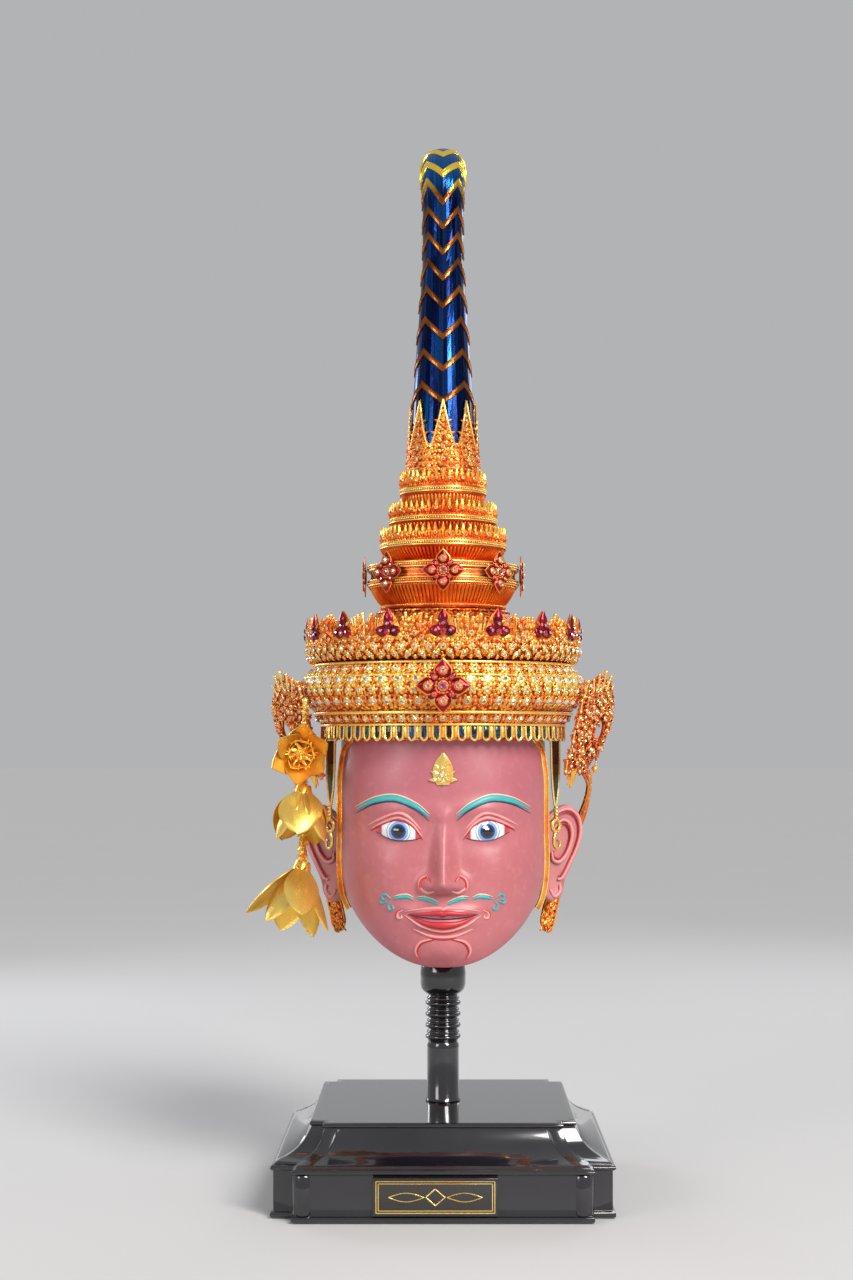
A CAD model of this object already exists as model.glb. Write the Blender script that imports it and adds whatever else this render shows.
"""A Thai khon dance mask with a tall tiered crown, on its black lacquer stand.

Sizes are in millimetres until settle() brings a finished piece into the frame, which is in metres.
The face looks along -Y, +Z is up, and the origin is under the middle of the stand's base.
"""

import math
import random

import bpy
from mathutils import Matrix, Vector


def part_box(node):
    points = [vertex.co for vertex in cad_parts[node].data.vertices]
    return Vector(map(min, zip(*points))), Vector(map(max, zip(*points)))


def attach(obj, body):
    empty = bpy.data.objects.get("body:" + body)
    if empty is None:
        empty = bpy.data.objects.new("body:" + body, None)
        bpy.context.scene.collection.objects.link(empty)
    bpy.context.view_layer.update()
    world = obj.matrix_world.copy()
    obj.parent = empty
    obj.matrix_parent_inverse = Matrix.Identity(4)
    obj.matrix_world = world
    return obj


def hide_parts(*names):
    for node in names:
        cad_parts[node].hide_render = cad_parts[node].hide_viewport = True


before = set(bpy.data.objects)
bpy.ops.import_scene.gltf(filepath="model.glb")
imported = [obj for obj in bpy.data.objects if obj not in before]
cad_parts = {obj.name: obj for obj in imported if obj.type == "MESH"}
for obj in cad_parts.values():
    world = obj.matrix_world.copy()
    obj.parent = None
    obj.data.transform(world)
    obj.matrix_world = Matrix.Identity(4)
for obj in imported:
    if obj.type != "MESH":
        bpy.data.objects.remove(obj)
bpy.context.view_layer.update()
random.seed(11)
TURN = 2 * math.pi
# Angles, in degrees, under which shading runs smoothly over an edge
FACETED, SOFT, ROUND = 0, 50, 60


def span(node):
    """The lowest and highest corner of one solid of the frame, in millimetres."""
    low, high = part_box(node)
    return low * 1000, high * 1000


# Driving sizes of the head, from the frame
chin_z = span("mask_shell")[0].z
band_z = span("crown_band")[0].z
face_height = band_z - chin_z
head_width = 176.0
head_half = head_width / 2
head_front = 90.0
head_back = 94.0
wall = 5.0
third = face_height / 3
eye_unit = head_width / 5
brow_z = chin_z + face_height * 2 / 3
nose_z = chin_z + face_height / 3
mouth_z = chin_z + face_height * 2 / 9
lobe_z = chin_z + face_height * 0.33
nape_z = chin_z + face_height * 0.27

# Driving sizes of the crown, from the frame
band_height = 65.0
crest_z = band_z + band_height
band_radius = span("crown_band")[1].x
crest_radius = span("crown_crest")[1].x + 1
bowl_low, bowl_high = span("crown_bowl")
bowl_radius = bowl_high.x - 0.8
collar_low, collar_high = span("crown_collar")
lower_low, lower_high = span("crown_lower_tier")
upper_low, upper_high = span("crown_upper_tier")
spire_foot = span("spire")[0].z
tier_leaf = 12.0
spire_straight = 236.5
spire_foot_radius, spire_top_radius = 30.5, 17.4
spire_taper = 189.0
spire_bend = 45.0
spire_arc = math.radians(80)
spire_length = spire_straight + spire_bend * spire_arc
chevron_arm = 5.4


def moved(x, y, z):
    return Matrix.Translation((x, y, z))


def spun(angle, axis="Z"):
    return Matrix.Rotation(angle, 4, axis)


def sized(scale):
    return Matrix.Scale(scale, 4)


def widened(scale):
    return Matrix.Scale(scale, 4, (1, 0, 0))


def lerp(a, b, t):
    return a + (b - a) * t


def clamp(value, low=0.0, high=1.0):
    return max(low, min(high, value))


def smooth(value, low, high):
    t = clamp((value - low) / (high - low))
    return t * t * (3 - 2 * t)


# Making and finishing pieces


def only(obj):
    bpy.ops.object.select_all(action="DESELECT")
    obj.select_set(True)
    bpy.context.view_layer.objects.active = obj


def shaped(obj, *steps):
    """Runs edit-mode steps on all of an object's mesh."""
    only(obj)
    bpy.ops.object.mode_set(mode="EDIT")
    for step in steps:
        bpy.ops.mesh.select_all(action="SELECT")
        step()
    bpy.ops.object.mode_set(mode="OBJECT")
    return obj


def closed_up(obj, gap=0.001):
    return shaped(obj, lambda: bpy.ops.mesh.remove_doubles(threshold=gap),
        lambda: bpy.ops.mesh.normals_make_consistent(inside=False))


def object_of(name, points, faces):
    mesh = bpy.data.meshes.new(name)
    mesh.from_pydata([tuple(p) for p in points], [], faces)
    mesh.update()
    obj = bpy.data.objects.new(name, mesh)
    bpy.context.collection.objects.link(obj)
    return obj


def applied(obj, kind, **settings):
    modifier = obj.modifiers.new(kind.title(), kind)
    for key, value in settings.items():
        setattr(modifier, key, value)
    only(obj)
    bpy.ops.object.modifier_apply(modifier=modifier.name)
    return obj


def settle(obj, finish, nodes=(), angle=35):
    """Brings a finished piece into the frame, with its finish, body and the solids it stands for."""
    obj.data.transform(sized(0.001))
    if not obj.data.materials:
        obj.data.materials.append(finish)
    only(obj)
    if angle:
        bpy.ops.object.shade_smooth_by_angle(angle=math.radians(angle))
    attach(obj, "root")
    if nodes:
        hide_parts(*nodes)
    return obj


def gild(obj, finish, angle=SOFT):
    return settle(obj, finish, (), angle)


def turned(name, profile, steps=96, hollow=False):
    """A profile of radius and height pairs spun about the vertical axis; a hollow one closes on itself."""
    mesh = bpy.data.meshes.new(name)
    count = len(profile)
    edges = [(i, i + 1) for i in range(count - 1)]
    if hollow:
        edges.append((count - 1, 0))
    mesh.from_pydata([(r, 0, z) for r, z in profile], edges, [])
    obj = bpy.data.objects.new(name, mesh)
    bpy.context.collection.objects.link(obj)
    shaped(obj, lambda: bpy.ops.mesh.spin(steps=steps, angle=TURN, center=(0, 0, 0), axis=(0, 0, 1)))
    return closed_up(obj, 0.01)


def hoop(name, radius, z, thick, sides, steps):
    """A ring of round wire."""
    angles = [TURN * i / sides for i in range(sides)]
    section = [(radius + thick * math.cos(a), z + thick * math.sin(a)) for a in angles]
    return turned(name, section, steps, True)


def cord_profile(radius, z, size, points=5):
    """A half-round line on a turned piece, from below upwards."""
    return [(radius + size / 2 * math.sin(math.pi * i / points),
        z - size / 2 * math.cos(math.pi * i / points)) for i in range(points + 1)]


def loft(name, rings, caps=True):
    """A skin over rings of equal count, with a fan at each end."""
    count = len(rings[0])
    points = [p for ring in rings for p in ring]
    faces = []
    for r in range(len(rings) - 1):
        for i in range(count):
            a, b = r * count + i, r * count + (i + 1) % count
            faces.append((a, b, b + count, a + count))
    if caps:
        for ring, flip in ((0, True), (len(rings) - 1, False)):
            middle = sum((Vector(p) for p in rings[ring]), Vector()) / count
            points.append(middle)
            for i in range(count):
                a, b = ring * count + i, ring * count + (i + 1) % count
                faces.append((b, a, len(points) - 1) if flip else (a, b, len(points) - 1))
    return object_of(name, points, faces)


def on_ring(radius, z, azimuth, lean=0.0, size=1.0, turn=0.0):
    """Where a small model lies on a ring: its x along the ring, its y up and its z outwards."""
    return (spun(azimuth) @ moved(0, -radius, z) @ spun(math.pi / 2 + lean, "X") @ spun(turn) @ sized(size))


def round_ring(count, radius, z, lean=0.0, size=1.0, shift=0.0, turn=0.0):
    return [on_ring(radius, z, TURN * (i + shift) / count, lean, size, turn) for i in range(count)]


def stamped(name, model, places):
    """Copies of a small model at each place, joined into one piece."""
    source = [v.co.copy() for v in model.data.vertices]
    polygons = [tuple(p.vertices) for p in model.data.polygons]
    points, faces = [], []
    for place in places:
        start = len(points)
        points.extend(place @ v for v in source)
        faces.extend(tuple(i + start for i in p) for p in polygons)
    return object_of(name, points, faces)


def joined(name, objects):
    bpy.ops.object.select_all(action="DESELECT")
    for obj in objects:
        obj.select_set(True)
    bpy.context.view_layer.objects.active = objects[0]
    bpy.ops.object.join()
    objects[0].name = name
    objects[0].data.name = name
    return objects[0]


def dropped(*objects):
    for obj in objects:
        bpy.data.objects.remove(obj)


def curve_through(points, steps=8):
    """A smooth line through points, with some steps from each to the next."""
    knots = [Vector(p) for p in points]
    knots = [knots[0] * 2 - knots[1], *knots, knots[-1] * 2 - knots[-2]]
    line = []
    for i in range(1, len(knots) - 2):
        a, b, c, d = knots[i - 1 : i + 3]
        for s in range(steps):
            t = s / steps
            line.append(0.5 * (2 * b + (c - a) * t + (2 * a - 5 * b + 4 * c - d) * t**2
                + (3 * b - a - 3 * c + d) * t**3))
    line.append(knots[-2])
    return line


def tube(name, line, radius, sides=8):
    """A round wire along a line; radius may be a function of the share travelled."""
    rings = []
    last = len(line) - 1
    across = None
    for i, p in enumerate(line):
        ahead = (line[min(i + 1, last)] - line[max(i - 1, 0)]).normalized()
        if across is None:
            across = ahead.orthogonal().normalized()
        across = (across - ahead * across.dot(ahead)).normalized()
        up = ahead.cross(across)
        r = radius(i / last) if callable(radius) else radius
        rings.append([p + r * (math.cos(TURN * k / sides) * across + math.sin(TURN * k / sides) * up)
            for k in range(sides)])
    return loft(name, rings)


# Small models that the ornament is set out with


def stone_model(radius=1.0, height=0.9, sides=8):
    """A cut stone: a ring of facets round a flat table, which shows darker."""
    bpy.ops.mesh.primitive_cone_add(vertices=sides, radius1=radius, radius2=radius * 0.5, depth=height,
        location=(0, 0, height / 2))
    stone = bpy.context.object
    bpy.ops.object.transform_apply(location=True, rotation=True, scale=True)
    for face in stone.data.polygons:
        face.material_index = 1 if face.normal.z > 0.9 else 0
    return stone


def set_stones(name, places, facets, table, move=None, holder=None):
    """Cut stones at each place, and the collars that hold them."""
    stone, collar = stone_model(), setting_model()
    tables = [p.material_index for p in stone.data.polygons] * len(places)
    stones = stamped(name + "_stones", stone, places)
    stones.data.polygons.foreach_set("material_index", tables)
    collars = stamped(name + "_settings", collar, [m @ sized(1.2) for m in places])
    for piece in (stones, collars):
        if move is not None:
            piece.data.transform(move)
            closed_up(piece, 0.0001)
    stones.data.materials.append(facets)
    stones.data.materials.append(table)
    settle(stones, facets, (), 0)
    settle(collars, holder or bright_gilt, (), 50)
    dropped(stone, collar)


def setting_model(radius=1.0, thick=0.24):
    """The round collar that holds a stone."""
    bpy.ops.mesh.primitive_torus_add(major_radius=radius, minor_radius=thick, major_segments=10,
        minor_segments=4, location=(0, 0, thick * 0.6))
    ring = bpy.context.object
    bpy.ops.object.transform_apply(location=True, rotation=True, scale=True)
    return ring


def bead_model(radius=1.0, flat=1.0):
    bpy.ops.mesh.primitive_uv_sphere_add(segments=8, ring_count=5, radius=radius)
    bead = bpy.context.object
    bead.scale = (1, 1, flat)
    bpy.ops.object.transform_apply(location=True, rotation=True, scale=True)
    return bead


def petal_model(width, height, thick, point=0.0, rings=6, sides=8):
    """A plump petal that stands on its foot, round or drawn out to a point."""
    bpy.ops.mesh.primitive_uv_sphere_add(segments=sides, ring_count=rings, radius=0.5,
        rotation=(-math.pi / 2, 0, 0))
    petal = bpy.context.object
    bpy.ops.object.transform_apply(location=False, rotation=True, scale=False)
    for v in petal.data.vertices:
        rise = v.co.y + 0.5
        pinch = 1 - point * max(0.0, rise - 0.45) * 1.5
        v.co = Vector((v.co.x * width * pinch, rise * height, max(v.co.z, -0.1) * 2 * thick * pinch))
    return petal


def finger_model(width=1.0, height=3.0):
    """A slim rod with a round end, as the crown's gilt fingers are."""
    bpy.ops.mesh.primitive_cone_add(vertices=7, radius1=width * 0.5, radius2=width * 0.42,
        depth=height * 0.86, location=(0, height * 0.43, 0), rotation=(-math.pi / 2, 0, 0))
    rod = bpy.context.object
    bpy.ops.object.transform_apply(location=True, rotation=True, scale=True)
    bpy.ops.mesh.primitive_uv_sphere_add(segments=7, ring_count=5, radius=width * 0.52,
        location=(0, height * 0.87, 0))
    tip = bpy.context.object
    tip.scale = (1, 1.25, 1)
    bpy.ops.object.transform_apply(location=True, rotation=True, scale=True)
    return joined("finger", [rod, tip])


def leaf_model(width, height, thick, curl=0.0, rows=7, belly=0.38):
    """A pointed leaf with a raised rib, its foot on the x axis; curl bends its tip sideways."""
    points, faces = [], []
    for i in range(rows + 1):
        t = i / rows
        if t < belly:
            half = width / 2 * (0.55 + 0.45 * math.sin(math.pi / 2 * t / belly))
        else:
            half = width / 2 * max(0.02, math.cos(math.pi / 2 * (t - belly) / (1 - belly)) ** 0.8)
        shift = curl * height * t**2
        y = height * t - abs(curl) * height * 0.25 * t**3
        rib = thick * (1 - 0.5 * t)
        points += [(shift - half, y, 0), (shift - half, y, thick * 0.35),
            (shift - half * 0.5, y, thick * 0.5), (shift, y, rib), (shift + half * 0.5, y, thick * 0.5),
            (shift + half, y, thick * 0.35), (shift + half, y, 0)]
    for i in range(rows):
        for k in range(7):
            a, b = i * 7 + k, i * 7 + (k + 1) % 7
            faces.append((a, b, b + 7, a + 7))
    faces.append(tuple(range(7)))
    faces.append(tuple(rows * 7 + k for k in reversed(range(7))))
    return closed_up(object_of("leaf", points, faces), 0.0001)


# Shader maths


class Wire:
    """A shader value that can be reckoned with."""

    def __init__(self, finish, socket):
        self.finish = finish
        self.socket = socket

    def reckon(self, operation, *others):
        return self.finish.node("ShaderNodeMath", {"operation": operation},
            {i: v for i, v in enumerate(others)})

    def __add__(self, other):
        return self.reckon("ADD", self, other)

    def __sub__(self, other):
        return self.reckon("SUBTRACT", self, other)

    def __rsub__(self, other):
        return self.reckon("SUBTRACT", other, self)

    def __mul__(self, other):
        return self.reckon("MULTIPLY", self, other)

    def __truediv__(self, other):
        return self.reckon("DIVIDE", self, other)

    def __pow__(self, other):
        return self.reckon("POWER", self, other)

    __radd__ = __add__
    __rmul__ = __mul__

    def clamped(self):
        return self.finish.node("ShaderNodeClamp", {}, {"Value": self, "Min": 0.0, "Max": 1.0})

    def edge(self, at, width):
        """0 below a value and 1 above it, with a soft step between."""
        return ((self - (at - width / 2)) / width).clamped()


class Finish:
    """A material under its maker's hands."""

    def __init__(self, name, **sockets):
        self.material = bpy.data.materials.new(name)
        self.material.use_nodes = True
        self.tree = self.material.node_tree
        self.shader = self.tree.nodes["Principled BSDF"]
        for key, value in sockets.items():
            self.shader.inputs[key.replace("_", " ")].default_value = value
        self.place = self.node("ShaderNodeTexCoord", {}, {}, "Object")

    def node(self, kind, settings, sockets, output=0):
        made = self.tree.nodes.new(kind)
        for key, value in settings.items():
            if key == "stops":
                ramp = made.color_ramp
                while len(ramp.elements) < len(value):
                    ramp.elements.new(0.5)
                for element, (position, colour) in zip(ramp.elements, value):
                    element.position = position
                    element.color = (*colour, 1)
            else:
                setattr(made, key, value)
        for key, value in sockets.items():
            if isinstance(value, Wire):
                self.tree.links.new(value.socket, made.inputs[key])
            else:
                made.inputs[key].default_value = value
        return Wire(self, made.outputs[output])

    def noise(self, scale, detail=3.0, rough=0.55, at=None):
        return self.node("ShaderNodeTexNoise", {}, {"Vector": at or self.place, "Scale": scale,
            "Detail": detail, "Roughness": rough})

    def cells(self, scale, feature="F1", at=None, output=0):
        return self.node("ShaderNodeTexVoronoi", {"feature": feature},
            {"Vector": at or self.place, "Scale": scale}, output)

    def stretched(self, x, y, z, at=None):
        return self.node("ShaderNodeMapping", {}, {"Vector": at or self.place, "Scale": (x, y, z)})

    def axes(self):
        parts = self.tree.nodes.new("ShaderNodeSeparateXYZ")
        self.tree.links.new(self.place.socket, parts.inputs[0])
        return [Wire(self, output) for output in parts.outputs]

    def blend(self, factor, first, second):
        as_colour = lambda c: c if isinstance(c, Wire) else (*c, 1)
        return self.node("ShaderNodeMix", {"data_type": "RGBA"},
            {0: factor, 6: as_colour(first), 7: as_colour(second)}, 2)

    def ramp(self, value, stops):
        return self.node("ShaderNodeValToRGB", {"stops": stops}, {"Fac": value})

    def bump(self, height, strength, distance=0.0005):
        self.feed("Normal", self.node("ShaderNodeBump", {}, {"Height": height, "Strength": strength,
            "Distance": distance}))

    def feed(self, socket, value):
        self.tree.links.new(value.socket, self.shader.inputs[socket])


def skin_paint():
    """Dusty mauve-pink paint, slightly clouded, and black hair behind the temples."""
    f = Finish("skin_paint", Coat_Weight=0.25, Coat_Roughness=0.3)
    _, y, z = f.axes()
    cloud = f.noise(14, 4)
    speck = f.noise(160, 2)
    pink = f.blend(cloud, (0.40, 0.098, 0.122), (0.54, 0.165, 0.178))
    pink = f.blend(speck.edge(0.62, 0.2) * 0.25, pink, (0.62, 0.25, 0.25))
    pink = f.blend(((z - 0.30) / 0.06).clamped() * 0.4, pink, (0.36, 0.10, 0.155))
    ahead = ((z - 0.225) / 0.075).clamped()
    corner = ((z - (band_z - 14) / 1000) / 0.014).clamped()
    hair = (y + 0.022 + ahead * 0.009 + corner * corner * 0.015).edge(0.0, 0.0006)
    f.feed("Base Color", f.blend(hair, pink, (0.010, 0.009, 0.010)))
    f.feed("Roughness", 0.36 + cloud * 0.14 - hair * 0.12)
    f.bump(f.noise(420, 3) * 0.5 + f.noise(60, 2), 0.12)
    return f.material


def flat_paint(name, colour, deeper, rough=0.4):
    f = Finish(name, Coat_Weight=0.2, Coat_Roughness=0.25)
    f.feed("Base Color", f.blend(f.noise(90, 3), colour, deeper))
    f.feed("Roughness", rough + f.noise(140) * 0.12)
    f.bump(f.noise(500), 0.1)
    return f.material


def gilding(name, bright, deep, red, rough=0.24, grain=230, wear=0.5, metal=0.82):
    """Gold leaf over moulded lacquer: bright on top, red where it is thin."""
    f = Finish(name, Metallic=metal)
    cloud = f.noise(34, 4, 0.6)
    fine = f.noise(grain, 3, 0.6)
    worn = (fine * 0.6 + cloud * 0.4).edge(0.55, 0.12)
    tone = f.blend(cloud.edge(0.5, 0.3), bright, deep)
    f.feed("Base Color", f.blend(worn * wear, tone, red))
    f.feed("Roughness", rough + worn * 0.16 + cloud * 0.1)
    f.bump(fine + f.cells(grain * 1.4) * 0.6, 0.3, 0.0004)
    return f.material


def moulded_ground(name, bright, deep, red, scale=330):
    """The close relief between the stones: small gilt curls over red lacquer."""
    f = Finish(name, Metallic=0.88)
    swirl = f.node("ShaderNodeTexVoronoi", {"feature": "SMOOTH_F1"},
        {"Vector": f.place, "Scale": scale, "Smoothness": 0.3, "Randomness": 0.8})
    top = 1 - swirl.edge(0.5, 0.3)
    cloud = f.noise(45, 3)
    tone = f.blend(cloud.edge(0.5, 0.35), bright, deep)
    f.feed("Base Color", f.blend(top, red, tone))
    f.feed("Roughness", 0.38 - top * 0.12)
    f.bump(top + f.noise(900) * 0.2, 0.8, 0.0009)
    return f.material


def red_enamel():
    """Wine-red enamel on foil, darker where it lies thick."""
    f = Finish("garnet_enamel", Metallic=0.8, Coat_Weight=0.15, Coat_Roughness=0.1)
    pool = f.noise(150, 3)
    f.feed("Base Color", f.blend(pool.edge(0.5, 0.3), (0.10, 0.003, 0.010), (0.38, 0.014, 0.035)))
    f.feed("Roughness", 0.16 + pool * 0.14)
    f.bump(f.noise(500), 0.15, 0.0003)
    return f.material


def clear_stone(name, tint, spark, metallic=0.6):
    """A foil-backed stone whose facets each take the light a little differently."""
    f = Finish(name, Roughness=0.08, Metallic=metallic, Coat_Weight=0.8, Coat_Roughness=0.03)
    each = f.noise(520, 1)
    f.feed("Base Color", f.blend(each.edge(0.5, 0.2), tint, spark))
    return f.material


def slat_glass():
    """Small panes of black glass, here and there a blue or green one."""
    f = Finish("slat_glass", Roughness=0.16, Coat_Weight=0.1, Coat_Roughness=0.03)
    pane = f.noise(70, 0)
    f.feed("Base Color", f.ramp(pane, [(0.0, (0.002, 0.002, 0.003)), (0.52, (0.003, 0.003, 0.005)), (0.56,
        (0.015, 0.05, 0.20)), (0.61, (0.004, 0.004, 0.006)), (0.65, (0.01, 0.14, 0.13)),
        (0.70, (0.005, 0.006, 0.01))]))
    return f.material


def spire_glass():
    """Blue mirror glass laid in upright strips, each of its own depth of blue, brightest at the top."""
    f = Finish("spire_glass", Metallic=0.95)
    z = f.axes()[2]
    strips = f.node("ShaderNodeUVMap", {"uv_map": "strips"}, {})
    tone = f.node("ShaderNodeTexWhiteNoise", {"noise_dimensions": "2D"}, {"Vector": strips})
    shade = f.ramp(tone, [(0.0, (0.0008, 0.002, 0.014)), (0.45, (0.002, 0.008, 0.055)), (0.8, (0.005, 0.030,
        0.17)), (1.0, (0.012, 0.12, 0.42))])
    top = ((z - 0.835) / 0.03).clamped()
    f.feed("Base Color", f.blend(top * 0.7, shade, (0.015, 0.17, 0.55)))
    f.feed("Roughness", 0.1 + f.noise(120) * 0.1)
    f.bump(f.noise(260, 2), 0.08)
    return f.material


def amber_glass():
    """Amber mirror glass, brown below and yellow towards the spire's top."""
    f = Finish("amber_glass", Metallic=0.9)
    z = f.axes()[2]
    depth = f.noise(60, 2)
    brown = f.blend(depth.edge(0.5, 0.4), (0.13, 0.035, 0.008), (0.42, 0.14, 0.025))
    top = ((z - 0.838) / 0.02).clamped()
    f.feed("Base Color", f.blend(top, brown, (1.0, 0.70, 0.08)))
    f.feed("Roughness", 0.16 + depth * 0.1)
    f.bump(f.noise(300, 2), 0.1)
    return f.material


def hairline(z):
    """Where the face ends before the ears; it turns forward in a round corner under the band."""
    return -(22 + 9 * clamp((z - 225) / 75) + 15 * clamp((z - band_z + 14) / 14) ** 2)


def ribbon(name, line, outward, section, taper=lambda t: 1.0):
    """A strip along a line.

    Its section is pairs of place across it and height over what it lies on; taper widens or narrows it.
    """
    last = len(line) - 1
    rings = []
    for i, p in enumerate(line):
        ahead = (line[min(i + 1, last)] - line[max(i - 1, 0)]).normalized()
        out = outward(p)
        out = (out - ahead * out.dot(ahead)).normalized()
        wide = out.cross(ahead).normalized()
        rings.append([p + wide * a * taper(i / last) + out * b for a, b in section])
    return loft(name, rings)


def lacquer(name="black_lacquer", base=(0.006, 0.0055, 0.008)):
    """Deep gloss lacquer with a faint haze and rub."""
    f = Finish(name, Coat_Weight=1.0, Coat_Roughness=0.04)
    haze = f.noise(9, 5, 0.6)
    rub = f.noise(70, 3)
    f.feed("Base Color", f.blend(haze.edge(0.55, 0.4), base, (0.016, 0.015, 0.02)))
    f.feed("Roughness", 0.09 + haze * 0.1 + rub * 0.04)
    f.bump(f.noise(24, 2), 0.03, 0.001)
    return f.material


def petal_gold(name, bright, deep, rough):
    """Satin metal brushed along the petal."""
    f = Finish(name, Metallic=0.8)
    along = f.node("ShaderNodeUVMap", {"uv_map": "petal"}, {})
    grain = f.noise(4, 4, 0.6, f.stretched(26, 1.2, 1, along))
    patch = f.noise(32, 3)
    f.feed("Base Color", f.blend((grain * 0.5 + patch * 0.5).edge(0.5, 0.3), bright, deep))
    f.feed("Roughness", rough + grain * 0.18)
    f.bump(grain, 0.35, 0.0004)
    return f.material


def eye_paint():
    """White with a ringed blue iris, red in both corners."""
    f = Finish("eye_paint", Roughness=0.12, Coat_Weight=1.0, Coat_Roughness=0.05)
    x, _, z = f.axes()
    side = f.node("ShaderNodeMath", {"operation": "ABSOLUTE"}, {0: x})
    across = side - eye_x / 1000
    rise = z - eye_z / 1000
    reach = f.node("ShaderNodeMath", {"operation": "SQRT"}, {0: across * across + rise * rise})
    white = f.blend(f.noise(70) * 0.5, (0.80, 0.82, 0.85), (0.68, 0.72, 0.78))
    corner = f.node("ShaderNodeMath", {"operation": "ABSOLUTE"}, {0: across})
    colour = f.blend(corner.edge(0.0135, 0.0012), white, (0.55, 0.04, 0.05))
    line = reach.edge(0.0093, 0.0002) * (1 - reach.edge(0.0097, 0.0002))
    colour = f.blend(line, colour, (0.02, 0.025, 0.04))
    colour = f.blend(1 - reach.edge(0.0080, 0.0003), colour, (0.20, 0.38, 0.70))
    colour = f.blend(1 - reach.edge(0.0060, 0.0006), colour, (0.010, 0.030, 0.12))
    colour = f.blend(1 - reach.edge(0.0042, 0.0003), colour, (0.001, 0.002, 0.006))
    f.feed("Base Color", colour)
    return f.material


eye_x = eye_unit * 1.02
eye_z = brow_z - third * 0.2

skin = skin_paint()
gilt = gilding("gilt", (1.0, 0.58, 0.12), (0.98, 0.34, 0.045), (0.60, 0.07, 0.02))
bright_gilt = gilding("bright_gilt", (1.0, 0.80, 0.30), (1.0, 0.62, 0.13), (0.85, 0.28, 0.05), 0.2, 230, 0.35)
yellow_gilt = gilding("yellow_gilt", (1.0, 0.72, 0.17), (1.0, 0.50, 0.07), (0.80, 0.20, 0.03), 0.22, 230, 0.4)
red_gilt = gilding("red_gilt", (0.90, 0.22, 0.04), (0.62, 0.075, 0.02), (0.28, 0.014, 0.008), 0.3)
orange_gilt = gilding("orange_gilt", (1.0, 0.44, 0.07), (0.92, 0.19, 0.03), (0.52, 0.035, 0.012), 0.28, 150)
ground = moulded_ground("moulded_ground", (1.0, 0.58, 0.13), (0.95, 0.32, 0.05), (0.42, 0.03, 0.015))
clear = clear_stone("clear_stone", (0.62, 0.60, 0.62), (1.0, 0.96, 0.95))
clear_table = clear_stone("clear_stone_table", (0.16, 0.14, 0.16), (0.50, 0.46, 0.48), 0.4)
rosy = clear_stone("rosy_stone", (0.72, 0.28, 0.30), (0.98, 0.72, 0.72))
rosy_table = clear_stone("rosy_stone_table", (0.30, 0.04, 0.08), (0.62, 0.22, 0.28), 0.4)
violet = clear_stone("violet_stone", (0.20, 0.02, 0.22), (0.62, 0.10, 0.52), 0.4)
violet_table = clear_stone("violet_stone_table", (0.10, 0.008, 0.13), (0.34, 0.03, 0.34), 0.3)
enamel = red_enamel()
pane_glass = slat_glass()
teal = flat_paint("teal_paint", (0.03, 0.33, 0.36), (0.05, 0.42, 0.43))
cream = flat_paint("cream_paint", (0.80, 0.68, 0.50), (0.70, 0.56, 0.40))
navy = flat_paint("navy_paint", (0.012, 0.022, 0.06), (0.02, 0.03, 0.09))
red = flat_paint("red_paint", (0.58, 0.025, 0.035), (0.46, 0.02, 0.03))
rose = flat_paint("rose_paint", (0.76, 0.32, 0.31), (0.70, 0.27, 0.27))
black_gloss = lacquer()
petal_outside = petal_gold("petal_gold", (1.0, 0.76, 0.20), (0.88, 0.50, 0.07), 0.2)
petal_inside = petal_gold("petal_warm_gold", (1.0, 0.74, 0.16), (0.98, 0.52, 0.06), 0.24)
tail_ground = moulded_ground("tail_ground", (1.0, 0.50, 0.10), (0.75, 0.20, 0.04), (0.10, 0.008, 0.008), 300)


# The face: three equal thirds, five eyes across, calm and level


def swell(x, z, at_x, at_z, reach_x, reach_z):
    return math.exp(-(((x - at_x) / reach_x) ** 2) - ((z - at_z) / reach_z) ** 2)


def relief(x, z):
    """How far the face stands forward of the plain head."""
    side = abs(x)
    e = eye_unit
    bridge_z = brow_z - third * 0.08
    tip_z = nose_z + third * 0.13
    down = (bridge_z - z) / (bridge_z - tip_z)
    if down <= 1:
        slope = max(down, 0) ** 1.2
    else:
        slope = max(0.0, 1 - ((tip_z - z) / (third * 0.16)) ** 2)
    bridge = smooth(z, nose_z - 2, nose_z + 4) * (1 - smooth(z, brow_z - 4, brow_z + 14))
    nose_reach = e * lerp(0.19, 0.25, clamp(down))
    nose = (4 * bridge + e * 0.47 * slope) * math.exp(-((side / nose_reach) ** 2))
    wings = e * 0.23 * swell(side, z, e * 0.36, nose_z + third * 0.1, e * 0.19, third * 0.11)
    brow = 3 * swell(side, z, e * 0.95, brow_z + third * 0.08, e * 0.9, third * 0.13)
    socket = -3.2 * swell(side, z, e * 0.98, eye_z, e * 0.62, third * 0.2)
    lid = 5 * swell(side, z, e, eye_z, e * 0.42, third * 0.12)
    cheek = 3.5 * swell(side, z, e * 1.35, nose_z + third * 0.25, e * 0.7, third * 0.4)
    muzzle = 5.5 * swell(side, z, 0, mouth_z + 1, e * 0.95, third * 0.33)
    curve = mouth_z + (side / e) ** 2 * 2.4
    upper = 3.2 * swell(side, z, 0, curve + third * 0.075, e * 0.72, third * 0.06)
    lower = 3.8 * swell(side, z, 0, curve - third * 0.085, e * 0.6, third * 0.075)
    chin = 6 * swell(side, z, 0, chin_z + third * 0.24, e * 0.55, third * 0.2)
    return nose + wings + brow + socket + lid + cheek + muzzle + upper + lower + chin


def rim_height(azimuth):
    turn = abs(math.atan2(math.sin(azimuth), math.cos(azimuth)))
    if turn < math.pi / 2:
        return lobe_z - (lobe_z - chin_z) * math.cos(turn) ** 1.25
    return lerp(lobe_z, nape_z, smooth(turn, math.pi / 2, math.pi * 0.85))


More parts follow.
